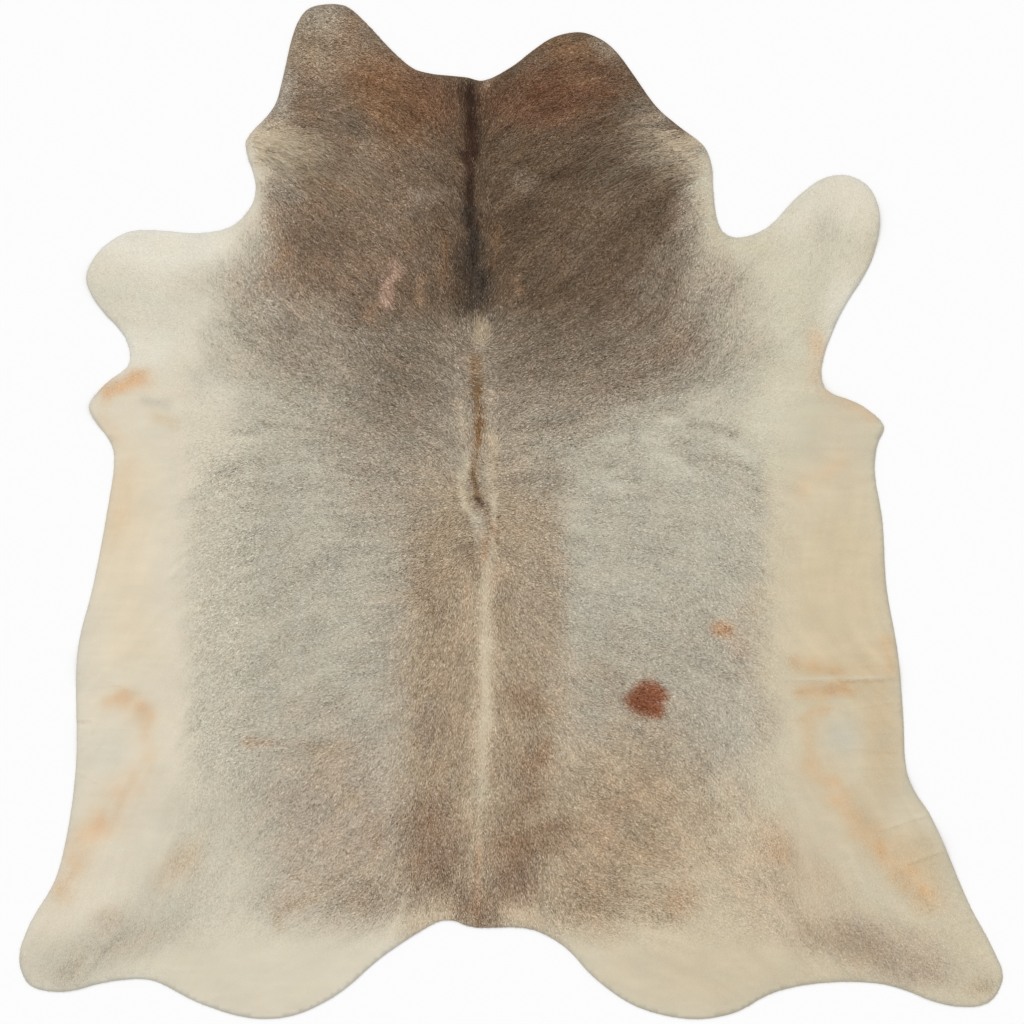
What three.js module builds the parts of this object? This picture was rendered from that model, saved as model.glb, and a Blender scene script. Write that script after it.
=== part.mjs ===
// A cured cowhide with the hair on, trimmed to the animal's own outline and lying flat, hair side up.
// Millimetres, +Z up. The flesh side lies on z = 0, the head end points to +Y and the tail end to -Y.

import * as THREE from "three";

// The skin, and the short coat that lies flat on it and thins out towards the cut edge
const SKIN_THICKNESS = 2.4;
const COAT_DEPTH = 2.6;
const RIM_COAT_DEPTH = 0.9;
const RIM_THINNING_WIDTH = 45;

// The slightly bent line of the backbone that the paired ribs of the surface fan out from, head end first
const BACKBONE = [
  { part: "nape", x: -58, y: 850 },
  { part: "withers", x: -75, y: 360 },
  { part: "back", x: -73, y: 0 },
  { part: "rump", x: -67, y: -725 },
];

// The standing crest of hair over the withers: two lips with a parting between them
const CREST_FRONT_Y = 400;
const CREST_REAR_Y = -30;
const CREST_HEIGHT = 3.6;
const CREST_HALF_WIDTH = 30;
const PARTING_DEPTH = 2.6;
const PARTING_HALF_WIDTH = 9;

// The low ridge of the back behind the crest
const BACK_RIDGE_REAR_Y = -860;
const BACK_RIDGE_HEIGHT = 1.6;
const BACK_RIDGE_HALF_WIDTH = 36;

// How finely the outline and the ribs are stepped
const STEPS_PER_LANDMARK = 3;
const NEAR_BACKBONE = [9, 19, 38];
const ALONG_RIB = [0.35, 0.65, 0.85];
const BEFORE_RIM = [45, 20];

// Under 1 the ribs' roots crowd to the rear, so that every rib to a foreleg runs inside the outline
const RIB_SLANT = 0.38;

// One landmark on each edge, left and right, where the two sides of the animal match
const edges = (leftX, leftY, rightX, rightY) => ({
  left: new THREE.Vector3(leftX, leftY, 0),
  right: new THREE.Vector3(rightX, rightY, 0),
});

const NAPE = new THREE.Vector3(-61, 949, 0);
const TAIL_NOTCH = new THREE.Vector3(-72, -916, 0);

const CHEEKS = [
  edges(-98, 956, 3, 980),
  edges(-204, 971, 47, 1014),
  edges(-248, 1002, 89, 1042),
  edges(-333, 1090, 124, 1053),
  edges(-364, 1113, 157, 1055),
  edges(-406, 1117, 186, 1046),
  edges(-447, 1106, 212, 1031),
  edges(-473, 1068, 237, 1007),
  edges(-503, 950, 270, 962),
];

const THROAT = [
  edges(-517, 900, 322, 890),
  edges(-537, 870, 373, 846),
  edges(-570, 836, 424, 806),
  edges(-584, 808, 441, 768),
  edges(-562, 722, 446, 700),
  edges(-570, 676, 455, 640),
  edges(-613, 629, 469, 614),
];

const FORELEGS = [
  edges(-686, 613, 500, 603),
  edges(-778, 619, 564, 625),
  edges(-844, 615, 628, 690),
  edges(-908, 571, 690, 734),
  edges(-934, 513, 745, 739),
  edges(-909, 455, 791, 711),
  edges(-850, 385, 812, 645),
];

const ELBOWS = [
  edges(-838, 340, 792, 548),
  edges(-845, 318, 724, 431),
  edges(-889, 284, 684, 315),
  edges(-928, 233, 694, 269),
  edges(-918, 204, 768, 236),
  edges(-882, 154, 821, 188),
  edges(-873, 119, 807, 148),
];

const FLANKS = [
  edges(-889, -2, 801, 90),
  edges(-922, -174, 818, -20),
  edges(-950, -284, 827, -165),
  edges(-957, -394, 851, -306),
  edges(-955, -519, 864, -455),
  edges(-970, -671, 871, -570),
];

const HIND_SHANKS = [
  edges(-1003, -810, 889, -616),
  edges(-1058, -906, 924, -669),
  edges(-1082, -984, 1010, -866),
  edges(-1060, -1041, 1063, -966),
  edges(-987, -1057, 1083, -1026),
  edges(-886, -1035, 1051, -1081),
  edges(-793, -1031, 965, -1087),
];

const RUMP = [
  edges(-692, -1079, 828, -1042),
  edges(-578, -1114, 692, -1037),
  edges(-483, -1110, 578, -1059),
  edges(-384, -1064, 492, -1103),
  edges(-283, -980, 399, -1117),
  edges(-182, -914, 276, -1089),
  edges(-153, -901, 184, -1026),
  edges(-124, -901, 118, -958),
  edges(-98, -911, 43, -919),
];

// Soft folds of the stiff skin: each stands highest at the cut edge and dies away towards the body
const fold = (edgeX, edgeY, innerX, innerY, halfWidth, height) => ({
  edge: new THREE.Vector2(edgeX, edgeY),
  inner: new THREE.Vector2(innerX, innerY),
  halfWidth,
  height,
});

const FOLDS = {
  rightFlank: fold(855, -372, 600, -352, 46, 5),
  rightThighUpper: fold(880, -600, 700, -560, 52, 4),
  rightThighLower: fold(930, -735, 760, -670, 60, 7),
  rightElbow: fold(690, 272, 560, 262, 44, 4),
  rightForeleg: fold(806, 640, 640, 560, 70, 5),
  leftFlankUpper: fold(-950, -340, -780, -400, 52, 5),
  leftFlankLower: fold(-957, -500, -800, -500, 56, 4),
  leftElbow: fold(-925, 230, -780, 230, 55, 4),
  leftForeleg: fold(-935, 510, -760, 480, 70, 4),
};

// The cut edge as one smooth closed curve: down the right side from the nape and back up the left
const LANDMARKS = [...CHEEKS, ...THROAT, ...FORELEGS, ...ELBOWS, ...FLANKS, ...HIND_SHANKS, ...RUMP];
const rightSide = LANDMARKS.map((landmark) => landmark.right);
const leftSide = LANDMARKS.map((landmark) => landmark.left).reverse();
const cutEdge = new THREE.CatmullRomCurve3([NAPE, ...rightSide, TAIL_NOTCH, ...leftSide], true);

const RIB_COUNT = (LANDMARKS.length + 1) * STEPS_PER_LANDMARK;
const RIGHT = "right";
const LEFT = "left";

// A raised cosine, 1 in the middle and 0 from the half width on
const hump = (offset, halfWidth) =>
  Math.abs(offset) < halfWidth ? 0.5 + 0.5 * Math.cos((Math.PI * offset) / halfWidth) : 0;

function backboneX(y) {
  const after = BACKBONE.findIndex((place) => place.y <= y);
  if (after === 0) return BACKBONE[0].x;
  if (after < 0) return BACKBONE.at(-1).x;
  const [front, rear] = BACKBONE.slice(after - 1, after + 1);
  return THREE.MathUtils.mapLinear(y, front.y, rear.y, front.x, rear.x);
}

// How far the folds lift the whole skin off the floor at a place
function foldLift(x, y) {
  const place = new THREE.Vector2(x, y);
  let lift = 0;
  for (const { edge, inner, halfWidth, height } of Object.values(FOLDS)) {
    const run = inner.clone().sub(edge);
    const length = run.length();
    run.normalize();
    const fromEdge = place.clone().sub(edge);
    const fade = 1 - THREE.MathUtils.smoothstep(fromEdge.dot(run), 0, length);
    lift += height * fade * hump(fromEdge.cross(run), halfWidth);
  }
  return lift;
}

// How far the coat stands up along the backbone
function backboneRelief(x, y) {
  const offset = x - backboneX(y);
  const crestMiddle = (CREST_FRONT_Y + CREST_REAR_Y) / 2;
  const crestReach = (CREST_FRONT_Y - CREST_REAR_Y) / 2;
  const crest = Math.sqrt(hump(y - crestMiddle, crestReach));
  const lips = CREST_HEIGHT * hump(offset, CREST_HALF_WIDTH);
  const parting = PARTING_DEPTH * hump(offset, PARTING_HALF_WIDTH);
  const ridgeMiddle = (CREST_REAR_Y + BACK_RIDGE_REAR_Y) / 2;
  const ridgeReach = (CREST_REAR_Y - BACK_RIDGE_REAR_Y) / 2;
  const ridge = BACK_RIDGE_HEIGHT * hump(y - ridgeMiddle, ridgeReach) * hump(offset, BACK_RIDGE_HALF_WIDTH);
  return crest * (lips - parting) + ridge;
}

// The top of the coat, where rim is the distance to the cut edge along the rib
function coatTop(x, y, rim) {
  const depth = THREE.MathUtils.lerp(
    RIM_COAT_DEPTH,
    COAT_DEPTH,
    THREE.MathUtils.smoothstep(rim, 0, RIM_THINNING_WIDTH),
  );
  return foldLift(x, y) + SKIN_THICKNESS + depth + backboneRelief(x, y);
}

// The places along one rib, from the backbone out to the cut edge
function ribPlaces(station, side, nearBackbone) {
  const share = station / RIB_COUNT;
  const rootY = THREE.MathUtils.lerp(BACKBONE[0].y, BACKBONE.at(-1).y, share ** RIB_SLANT);
  const root = new THREE.Vector2(backboneX(rootY), rootY);
  const tip = cutEdge.getPoint(side === RIGHT ? share / 2 : 1 - share / 2);
  const rib = new THREE.Vector2(tip.x, tip.y).sub(root);
  const length = rib.length();
  rib.normalize();
  const near = nearBackbone.at(-1) ?? 0;
  const far = length - BEFORE_RIM[0];
  const distances = [
    0,
    ...nearBackbone,
    ...ALONG_RIB.map((part) => THREE.MathUtils.lerp(near, far, part)),
    ...BEFORE_RIM.map((gap) => length - gap),
    length,
  ];
  return distances.map((distance) => ({
    x: root.x + rib.x * distance,
    y: root.y + rib.y * distance,
    rim: length - distance,
  }));
}

// One face of the hide as paired ribs, both sides in one row, sharing the backbone and the first and last rib
class HideFace {
  constructor(nearBackbone, height, vertices) {
    const addVertex = ({ x, y, rim }) => {
      vertices.push(x, y, height(x, y, rim));
      return vertices.length / 3 - 1;
    };
    this.rows = [];
    for (let station = 0; station <= RIB_COUNT; station += 1) {
      const right = ribPlaces(station, RIGHT, nearBackbone).map(addVertex);
      const isEnd = station === 0 || station === RIB_COUNT;
      const outwards = ribPlaces(station, LEFT, nearBackbone).slice(1);
      const left = isEnd ? right : [right[0], ...outwards.map(addVertex)];
      this.rows.push({ right, left });
    }
  }

  // Two triangles between each pair of neighbouring ribs, facing up on the coat and down on the flesh side
  faces(facesUp) {
    const triangles = [];
    const face = (a, b, c) => {
      if (a !== b && b !== c && c !== a) triangles.push(...(facesUp ? [a, b, c] : [a, c, b]));
    };
    for (let row = 0; row < RIB_COUNT; row += 1) {
      const here = this.rows[row];
      const next = this.rows[row + 1];
      for (let column = 0; column + 1 < here.right.length; column += 1) {
        face(here.right[column], next.right[column], here.right[column + 1]);
        face(here.right[column + 1], next.right[column], next.right[column + 1]);
        face(here.left[column], here.left[column + 1], next.left[column]);
        face(here.left[column + 1], next.left[column + 1], next.left[column]);
      }
    }
    return triangles;
  }

  // The vertices along the cut edge, clockwise seen from above
  rim() {
    const right = this.rows.map((row) => row.right.at(-1));
    const left = this.rows.slice(1, -1).map((row) => row.left.at(-1));
    return [...right, ...left.reverse()];
  }
}

// The narrow wall of the cut edge between the coat and the flesh side
function cutWall(coatRim, fleshRim) {
  const triangles = [];
  coatRim.forEach((coat, index) => {
    const next = (index + 1) % coatRim.length;
    triangles.push(coat, coatRim[next], fleshRim[index]);
    triangles.push(coatRim[next], fleshRim[next], fleshRim[index]);
  });
  return triangles;
}

function hideGeometry() {
  const vertices = [];
  const coat = new HideFace(NEAR_BACKBONE, coatTop, vertices);
  const flesh = new HideFace([], foldLift, vertices);
  const geometry = new THREE.BufferGeometry();
  geometry.setAttribute("position", new THREE.Float32BufferAttribute(vertices, 3));
  geometry.setIndex([...coat.faces(true), ...flesh.faces(false), ...cutWall(coat.rim(), flesh.rim())]);
  geometry.computeBoundingBox();
  const middle = geometry.boundingBox.getCenter(new THREE.Vector3());
  geometry.translate(-middle.x, -middle.y, 0);
  geometry.computeVertexNormals();
  return geometry;
}

const hairOnHide = new THREE.MeshStandardMaterial({ color: 0xa79c8d, roughness: 0.85, metalness: 0 });
const hide = new THREE.Mesh(hideGeometry(), hairOnHide);
hide.name = "hide";

const rug = new THREE.Group();
rug.add(hide);

export default rug;
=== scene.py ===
import math
from collections import namedtuple

import bmesh
import bpy
import numpy as np
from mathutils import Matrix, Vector, geometry, kdtree
from mathutils.bvhtree import BVHTree


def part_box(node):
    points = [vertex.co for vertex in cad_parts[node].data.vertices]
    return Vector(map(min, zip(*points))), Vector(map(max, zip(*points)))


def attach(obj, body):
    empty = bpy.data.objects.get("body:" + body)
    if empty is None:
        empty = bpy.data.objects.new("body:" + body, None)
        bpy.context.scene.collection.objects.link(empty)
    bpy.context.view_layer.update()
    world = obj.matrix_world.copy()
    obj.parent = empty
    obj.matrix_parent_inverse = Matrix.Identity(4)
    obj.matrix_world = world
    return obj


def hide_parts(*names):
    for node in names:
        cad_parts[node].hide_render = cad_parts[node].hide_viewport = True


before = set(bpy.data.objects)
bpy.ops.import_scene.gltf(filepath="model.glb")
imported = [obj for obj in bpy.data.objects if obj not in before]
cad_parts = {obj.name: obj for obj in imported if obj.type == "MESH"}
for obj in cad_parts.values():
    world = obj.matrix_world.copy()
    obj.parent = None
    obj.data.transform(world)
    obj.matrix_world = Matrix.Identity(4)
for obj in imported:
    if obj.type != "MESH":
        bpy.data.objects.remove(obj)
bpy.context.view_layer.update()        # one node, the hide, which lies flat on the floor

# The skin
# One cured cowhide, trimmed by hand to the animal's outline and laid flesh side down on the floor.
# It is one sheet of leather, hair side up and suede below, and rises off the floor in a few low folds.

MM = 0.001
RIM_STEP = 6 * MM
RIM_SMOOTHING = 10
HAIR_SIDE_STEP = 10 * MM
FLESH_SIDE_STEP = 26 * MM
RIM_CLEARANCE = 0.6
WELDED_WITHIN = 0.05 * MM
FLESH_FACING = -0.5
ROW_GAP = math.sqrt(0.75)
MERGED_WITHIN = 1e-7
SKIN_SHARE = 0.6
ABOVE = 0.05
DOWN = Vector((0, 0, -1))

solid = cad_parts["hide"]
solid_tree = BVHTree.FromObject(solid, bpy.context.evaluated_depsgraph_get())


def outline_of(node):
    """The rim of the node's flesh side, as points in order round the hide."""
    shell = bmesh.new()
    shell.from_mesh(node.data)
    bmesh.ops.remove_doubles(shell, verts=shell.verts, dist=WELDED_WITHIN)
    shell.normal_update()
    other_faces = [face for face in shell.faces if face.normal.z > FLESH_FACING]
    bmesh.ops.delete(shell, geom=other_faces, context="FACES")
    neighbours = {}
    for edge in shell.edges:
        if edge.is_boundary:
            for end in edge.verts:
                neighbours.setdefault(end, []).append(edge.other_vert(end))
    start = min(neighbours, key=lambda vert: vert.index)
    loop = [start, neighbours[start][0]]
    while loop[-1] is not start:
        loop.append(next(vert for vert in neighbours[loop[-1]] if vert is not loop[-2]))
    points = np.array([vert.co for vert in loop[:-1]])
    shell.free()
    return points


def faired(loop, step):
    """A smooth closed curve through the loop's points, in even steps and counter-clockwise."""
    before = np.roll(loop, 1, axis=0)
    after = np.roll(loop, -1, axis=0)
    later = np.roll(loop, -2, axis=0)
    along = (np.arange(RIM_SMOOTHING) / RIM_SMOOTHING)[None, :, None]
    bend = (2 * before - 5 * loop + 4 * after - later)[:, None] * along**2
    twist = (3 * loop - before - 3 * after + later)[:, None] * along**3
    curve = loop[:, None] + 0.5 * ((after - before)[:, None] * along + bend + twist)
    curve = curve.reshape(-1, 3)
    x, y = curve[:, 0], curve[:, 1]
    if np.sum(x * np.roll(y, -1) - y * np.roll(x, -1)) < 0:
        curve = curve[::-1]
    closed = np.vstack([curve, curve[:1]])
    gone = np.linalg.norm(np.diff(closed[:, :2], axis=0), axis=1)
    far = np.concatenate([[0], np.cumsum(gone)])
    count = int(far[-1] / step)
    stops = np.arange(count) * far[-1] / count
    return np.stack([np.interp(stops, far, closed[:, axis]) for axis in range(3)], axis=1)


rim = faired(outline_of(solid), RIM_STEP)
rim_tree = kdtree.KDTree(len(rim))
for index, point in enumerate(rim):
    rim_tree.insert((point[0], point[1], 0), index)
rim_tree.balance()


def rim_distance(x, y):
    """How far a place is from the trimmed edge."""
    return rim_tree.find((x, y, 0))[2]


# Places on the hide are given in pixels of a picture taken straight from above, where a pixel is 2.2 mm.
PIXEL = 2.2 * MM
MIDDLE_X = 511.0
MIDDLE_Y = 511.5


def picture_place(points):
    """Pixel columns and rows of points given in metres."""
    return points[:, 0] / PIXEL + MIDDLE_X, MIDDLE_Y - points[:, 1] / PIXEL


def hide_place(x, y):
    """The point in metres of a place given in pixels, or points of several."""
    return np.array([(x - MIDDLE_X) * PIXEL, (MIDDLE_Y - y) * PIXEL])


# Fine creases, pressed into the leather while it was folded. Each is a low ridge between two places, or a
# trough where its height is below zero. Places and widths are in pixels and heights in mm.
Crease = namedtuple("Crease", "place x y to_x to_y half_width height")
CREASES = [
    Crease("right flank", 786, 680, 832, 681, 2.2, 0.8),
    Crease("right flank, outside", 845, 680, 893, 678, 2.2, 0.9),
    Crease("right flank, peak", 836, 684, 852, 690, 2.0, 0.4),
    Crease("right flank, top", 862, 640, 897, 642, 2.2, 0.4),
    Crease("right flank, second", 836, 652, 890, 655, 2.2, 0.25),
    Crease("right flank, third", 850, 667, 892, 664, 2.2, 0.25),
    Crease("right flank, curl", 823, 706, 853, 712, 2.2, 0.3),
    Crease("right flank, end of the curl", 856, 708, 893, 702, 2.2, 0.3),
    Crease("right flank, low", 846, 735, 892, 732, 2.2, 0.25),
    Crease("right flank, lowest", 852, 748, 896, 752, 2.2, 0.3),
    Crease("right thigh, top", 838, 771, 903, 767, 2.4, 0.3),
    Crease("right thigh, middle", 887, 828, 928, 815, 2.4, 0.9),
    Crease("right thigh, low", 909, 863, 944, 850, 2.6, 1.0),
    Crease("right shank", 952, 924, 976, 918, 2.4, 0.5),
    Crease("right shank tip", 972, 960, 998, 947, 3.0, 0.5),
    Crease("left flank", 76, 722, 91, 722, 2.0, 0.4),
    Crease("left flank, bend", 92, 724, 94, 734, 2.0, 0.35),
    Crease("left flank, curl", 93, 738, 84, 748, 2.0, 0.3),
    Crease("left flank, top", 82, 690, 106, 686, 2.2, 0.25),
    Crease("left flank, low", 80, 774, 96, 782, 2.2, 0.3),
    Crease("left elbow", 160, 406, 175, 404, 2.0, 0.4),
    Crease("right elbow", 774, 391, 804, 391, 2.4, 0.5),
    Crease("right elbow, outside", 810, 394, 823, 388, 2.2, 0.4),
    Crease("right foreleg", 803, 201, 854, 270, 2.4, 0.35),
    Crease("scar", 393, 270, 382, 308, 3.0, 0.7),
    Crease("left lip of the parting", 466, 440, 467, 508, 3.5, 0.7),
    Crease("right lip of the parting", 492, 478, 492, 522, 3.5, 0.6),
    Crease("parting", 477, 364, 477, 442, 3.5, -0.5),
    Crease("parting, rear", 475, 472, 481, 503, 3.0, -0.6),
]
CREASE_STEP = 6 * MM
CREASE_ROWS = (-2, -1.3, -0.65, 0, 0.65, 1.3, 2)
CREASE_SIDE = 2.4


def beside_line(x, y, mark):
    """Distance in pixels of places from a mark's line, and how far along the line they are, from 0 to 1."""
    run_x = mark.to_x - mark.x
    run_y = mark.to_y - mark.y
    along = ((x - mark.x) * run_x + (y - mark.y) * run_y) / (run_x**2 + run_y**2)
    along = np.clip(along, 0, 1)
    return np.hypot(x - mark.x - along * run_x, y - mark.y - along * run_y), along


def crease_lift(points):
    """Extra height, in metres, that the fine creases give to places on the skin."""
    x, y = picture_place(points)
    lift = np.zeros(len(points))
    for crease in CREASES:
        gap = beside_line(x, y, crease)[0]
        lift += crease.height * MM * np.exp(-((gap / crease.half_width) ** 2))
    return lift


def creased(places):
    """The places with those beside a crease taken out, and rows of places put in along each crease."""
    x, y = picture_place(places)
    clear = np.ones(len(places), dtype=bool)
    rows = []
    for crease in CREASES:
        clear &= beside_line(x, y, crease)[0] > CREASE_SIDE * crease.half_width
        start = hide_place(crease.x, crease.y)
        run = hide_place(crease.to_x, crease.to_y) - start
        ahead = run / np.hypot(*run)
        aside = np.array([-ahead[1], ahead[0]]) * crease.half_width * PIXEL
        stops = np.arange(-CREASE_STEP, np.hypot(*run) + 2 * CREASE_STEP, CREASE_STEP)
        for row in CREASE_ROWS:
            rows.append(start + stops[:, None] * ahead + row * aside)
    return np.vstack([places[clear]] + rows)


def over_hide(x, y):
    """Whether a place is above the hide."""
    return solid_tree.ray_cast(Vector((x, y, ABOVE)), DOWN)[0] is not None


def filled(step, with_creases):
    """Points and triangles that fill the outline, about a step apart, with the rim's own points first."""
    low = rim[:, :2].min(axis=0)
    high = rim[:, :2].max(axis=0)
    grid = []
    for row, y in enumerate(np.arange(low[1], high[1], step * ROW_GAP)):
        for x in np.arange(low[0] + step / 2 * (row % 2), high[0], step):
            grid.append((x, y))
    places = np.array(grid)
    if with_creases:
        places = creased(places)
    points = [Vector(point[:2]) for point in rim]
    for x, y in places:
        if over_hide(x, y) and rim_distance(x, y) > RIM_CLEARANCE * min(step, 2 * RIM_STEP):
            points.append(Vector((x, y)))
    ring = [(index, (index + 1) % len(rim)) for index in range(len(rim))]
    places, _, triangles, _, _, _ = geometry.delaunay_2d_cdt(points, ring, [], 1, MERGED_WITHIN)
    return np.array([tuple(place) for place in places]), np.array(triangles)


def solid_heights(places):
    """Height of the solid's flesh side and of its hair top at each place."""
    heights = np.zeros((len(places), 2))
    for row, (x, y) in zip(heights, places):
        for column, side in enumerate((-1, 1)):
            start = Vector((x, y, side * ABOVE))
            hit = solid_tree.ray_cast(start, Vector((0, 0, -side)))[0]
            row[column] = (hit or solid_tree.find_nearest(start)[0]).z
    return heights


hair_side, hair_side_faces = filled(HAIR_SIDE_STEP, True)
flesh_side, flesh_side_faces = filled(FLESH_SIDE_STEP, False)
hair_side_heights = solid_heights(hair_side)
skin_top = hair_side_heights[:, 0] * (1 - SKIN_SHARE) + hair_side_heights[:, 1] * SKIN_SHARE
skin_top = np.column_stack([hair_side, skin_top + crease_lift(hair_side)])
skin_bottom = np.column_stack([flesh_side, solid_heights(flesh_side)[:, 0]])

rim_index = np.arange(len(rim))
next_index = np.roll(rim_index, -1)
first_bottom = len(skin_top)
cut_wall = np.column_stack(
    [first_bottom + rim_index, first_bottom + next_index, next_index, rim_index]
)
skin_mesh = bpy.data.meshes.new("skin")
skin_mesh.from_pydata(
    np.vstack([skin_top, skin_bottom]).tolist(),
    [],
    hair_side_faces.tolist() + (first_bottom + flesh_side_faces[:, ::-1]).tolist() + cut_wall.tolist(),
)
skin_mesh.shade_smooth()
skin = bpy.data.objects.new("skin", skin_mesh)
bpy.context.scene.collection.objects.link(skin)

# How the hair slants at places on the hide: in degrees from level, falling to the right in the picture.
Combing = namedtuple("Combing", "place x y slant")
COMBINGS = [
    Combing("nape", 472, 95, 90),
    Combing("ridge of the neck", 474, 200, 90),
    Combing("ridge, end", 476, 290, 90),
    Combing("left cheek", 335, 60, 5),
    Combing("left cheek, inside", 388, 80, 25),
    Combing("right cheek", 565, 75, -15),
    Combing("right cheek, inside", 520, 85, -28),
    Combing("left throat", 290, 115, 8),
    Combing("left throat, low", 295, 165, 32),
    Combing("right throat", 655, 115, -5),
    Combing("right throat, low", 690, 165, -10),
    Combing("left neck", 385, 160, 34),
    Combing("left neck, inside", 435, 190, 38),
    Combing("left neck, low", 340, 230, 43),
    Combing("left neck, rear", 400, 262, 45),
    Combing("left of the ridge", 435, 275, 75),
    Combing("right neck", 565, 160, -32),
    Combing("right neck, inside", 518, 190, -26),
    Combing("right neck, low", 610, 225, -40),
    Combing("right neck, rear", 560, 265, -45),
    Combing("right of the ridge", 515, 270, -35),
    Combing("right neck, edge", 665, 225, -40),
    Combing("right neck, corner", 690, 270, -85),
    Combing("left neck, edge", 265, 235, 70),
    Combing("left foreleg", 150, 255, 15),
    Combing("left armpit", 220, 310, 45),
    Combing("right foreleg", 835, 225, -80),
    Combing("right armpit", 790, 310, -40),
    Combing("left shoulder", 300, 340, 40),
    Combing("left shoulder, rear", 270, 385, 30),
    Combing("left shoulder, outside", 215, 365, 50),
    Combing("left withers", 400, 345, 32),
    Combing("left of the parting", 440, 395, 28),
    Combing("left of the whorl", 430, 450, 24),
    Combing("parting", 478, 430, 85),
    Combing("right withers", 560, 340, -20),
    Combing("right of the parting", 520, 395, -24),
    Combing("right of the whorl", 528, 460, -12),
    Combing("right shoulder", 630, 345, -35),
    Combing("right shoulder, rear", 620, 390, -10),
    Combing("right shoulder, outside", 720, 345, -64),
    Combing("right shoulder, low", 725, 388, -38),
    Combing("left elbow", 125, 385, -25),
    Combing("right elbow", 820, 390, 0),
    Combing("left saddle, front", 270, 435, 2),
    Combing("left saddle, front inside", 360, 440, 10),
    Combing("left saddle, front outside", 205, 470, -28),
    Combing("left saddle, upper", 280, 505, -6),
    Combing("left saddle, upper inside", 370, 505, 4),
    Combing("left saddle", 270, 575, -16),
    Combing("left saddle, inside", 355, 575, -3),
    Combing("left saddle, outside", 205, 575, -34),
    Combing("left saddle, low", 270, 650, -26),
    Combing("left saddle, low inside", 350, 650, -15),
    Combing("left saddle, low outside", 200, 670, -52),
    Combing("right saddle, front", 640, 440, 0),
    Combing("right saddle, front outside", 740, 465, 25),
    Combing("right saddle, upper", 640, 505, 4),
    Combing("right saddle, upper outside", 745, 530, 36),
    Combing("right saddle", 640, 580, 10),
    Combing("right saddle, outside", 735, 590, 35),
    Combing("right saddle, low", 640, 650, 14),
    Combing("right saddle, low outside", 735, 665, 35),
    Combing("back", 484, 600, 90),
    Combing("back, rear", 482, 780, 90),
    Combing("left of the back, front", 430, 540, -28),
    Combing("left of the back", 428, 650, -66),
    Combing("left of the back, rear", 428, 760, -75),
    Combing("right of the back, front", 530, 545, 20),
    Combing("right of the back", 520, 650, 58),
    Combing("right of the back, rear", 520, 760, 70),
    Combing("beside the back, right", 565, 600, 28),
    Combing("left hind, upper", 265, 735, -15),
    Combing("left hind, upper inside", 360, 735, -38),
    Combing("left hind", 270, 800, -50),
    Combing("left hind, inside", 365, 820, -35),
    Combing("left hind, low", 320, 900, -25),
    Combing("left hind, outside", 200, 800, -78),
    Combing("right hind, upper", 620, 730, 22),
    Combing("right hind, upper outside", 725, 740, 52),
    Combing("right hind", 620, 800, 30),
    Combing("right hind, inside", 565, 850, 45),
    Combing("right hind, low", 630, 890, 10),
    Combing("right hind, outside", 740, 810, 60),
    Combing("right thigh", 800, 830, 75),
    Combing("left tail side", 430, 860, -85),
    Combing("right tail side", 522, 860, 78),
    Combing("tail", 478, 880, 90),
    Combing("left thigh", 150, 870, -76),
    Combing("left thigh, low", 215, 915, -58),
    Combing("left hind leg", 90, 940, -55),
    Combing("left rump", 290, 965, -24),
    Combing("right thigh, outside", 830, 890, 72),
    Combing("right thigh, low", 740, 905, 36),
    Combing("right hind leg", 880, 950, 40),
    Combing("right rump", 650, 965, 20),
    Combing("left belly", 130, 550, -75),
    Combing("right belly", 830, 550, -80),
]
COMBING_REACH = 24
COMBING_FALL = -1.5
WHORL_X = 481
WHORL_Y = 505
NECK_END = 318
NECK_HALF_WIDTH = 230


def combed(x, y):
    """Angle of the hair at places, counter-clockwise from +X: away from the whorl, but to it on the neck."""
    level = np.zeros(len(x))
    slope = np.zeros(len(x))
    for combing in COMBINGS:
        gap = (x - combing.x) ** 2 + (y - combing.y) ** 2
        weight = (gap + COMBING_REACH**2) ** COMBING_FALL
        level += weight * math.cos(2 * math.radians(combing.slant))
        slope += weight * math.sin(2 * math.radians(combing.slant))
    slant = np.arctan2(slope, level) / 2
    outward = np.cos(slant) * (x - WHORL_X) + np.sin(slant) * (y - WHORL_Y)
    on_neck = (y < NECK_END) & (np.abs(x - WHORL_X) < NECK_HALF_WIDTH)
    return np.where((outward < 0) ^ on_neck, math.pi, 0) - slant


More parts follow.
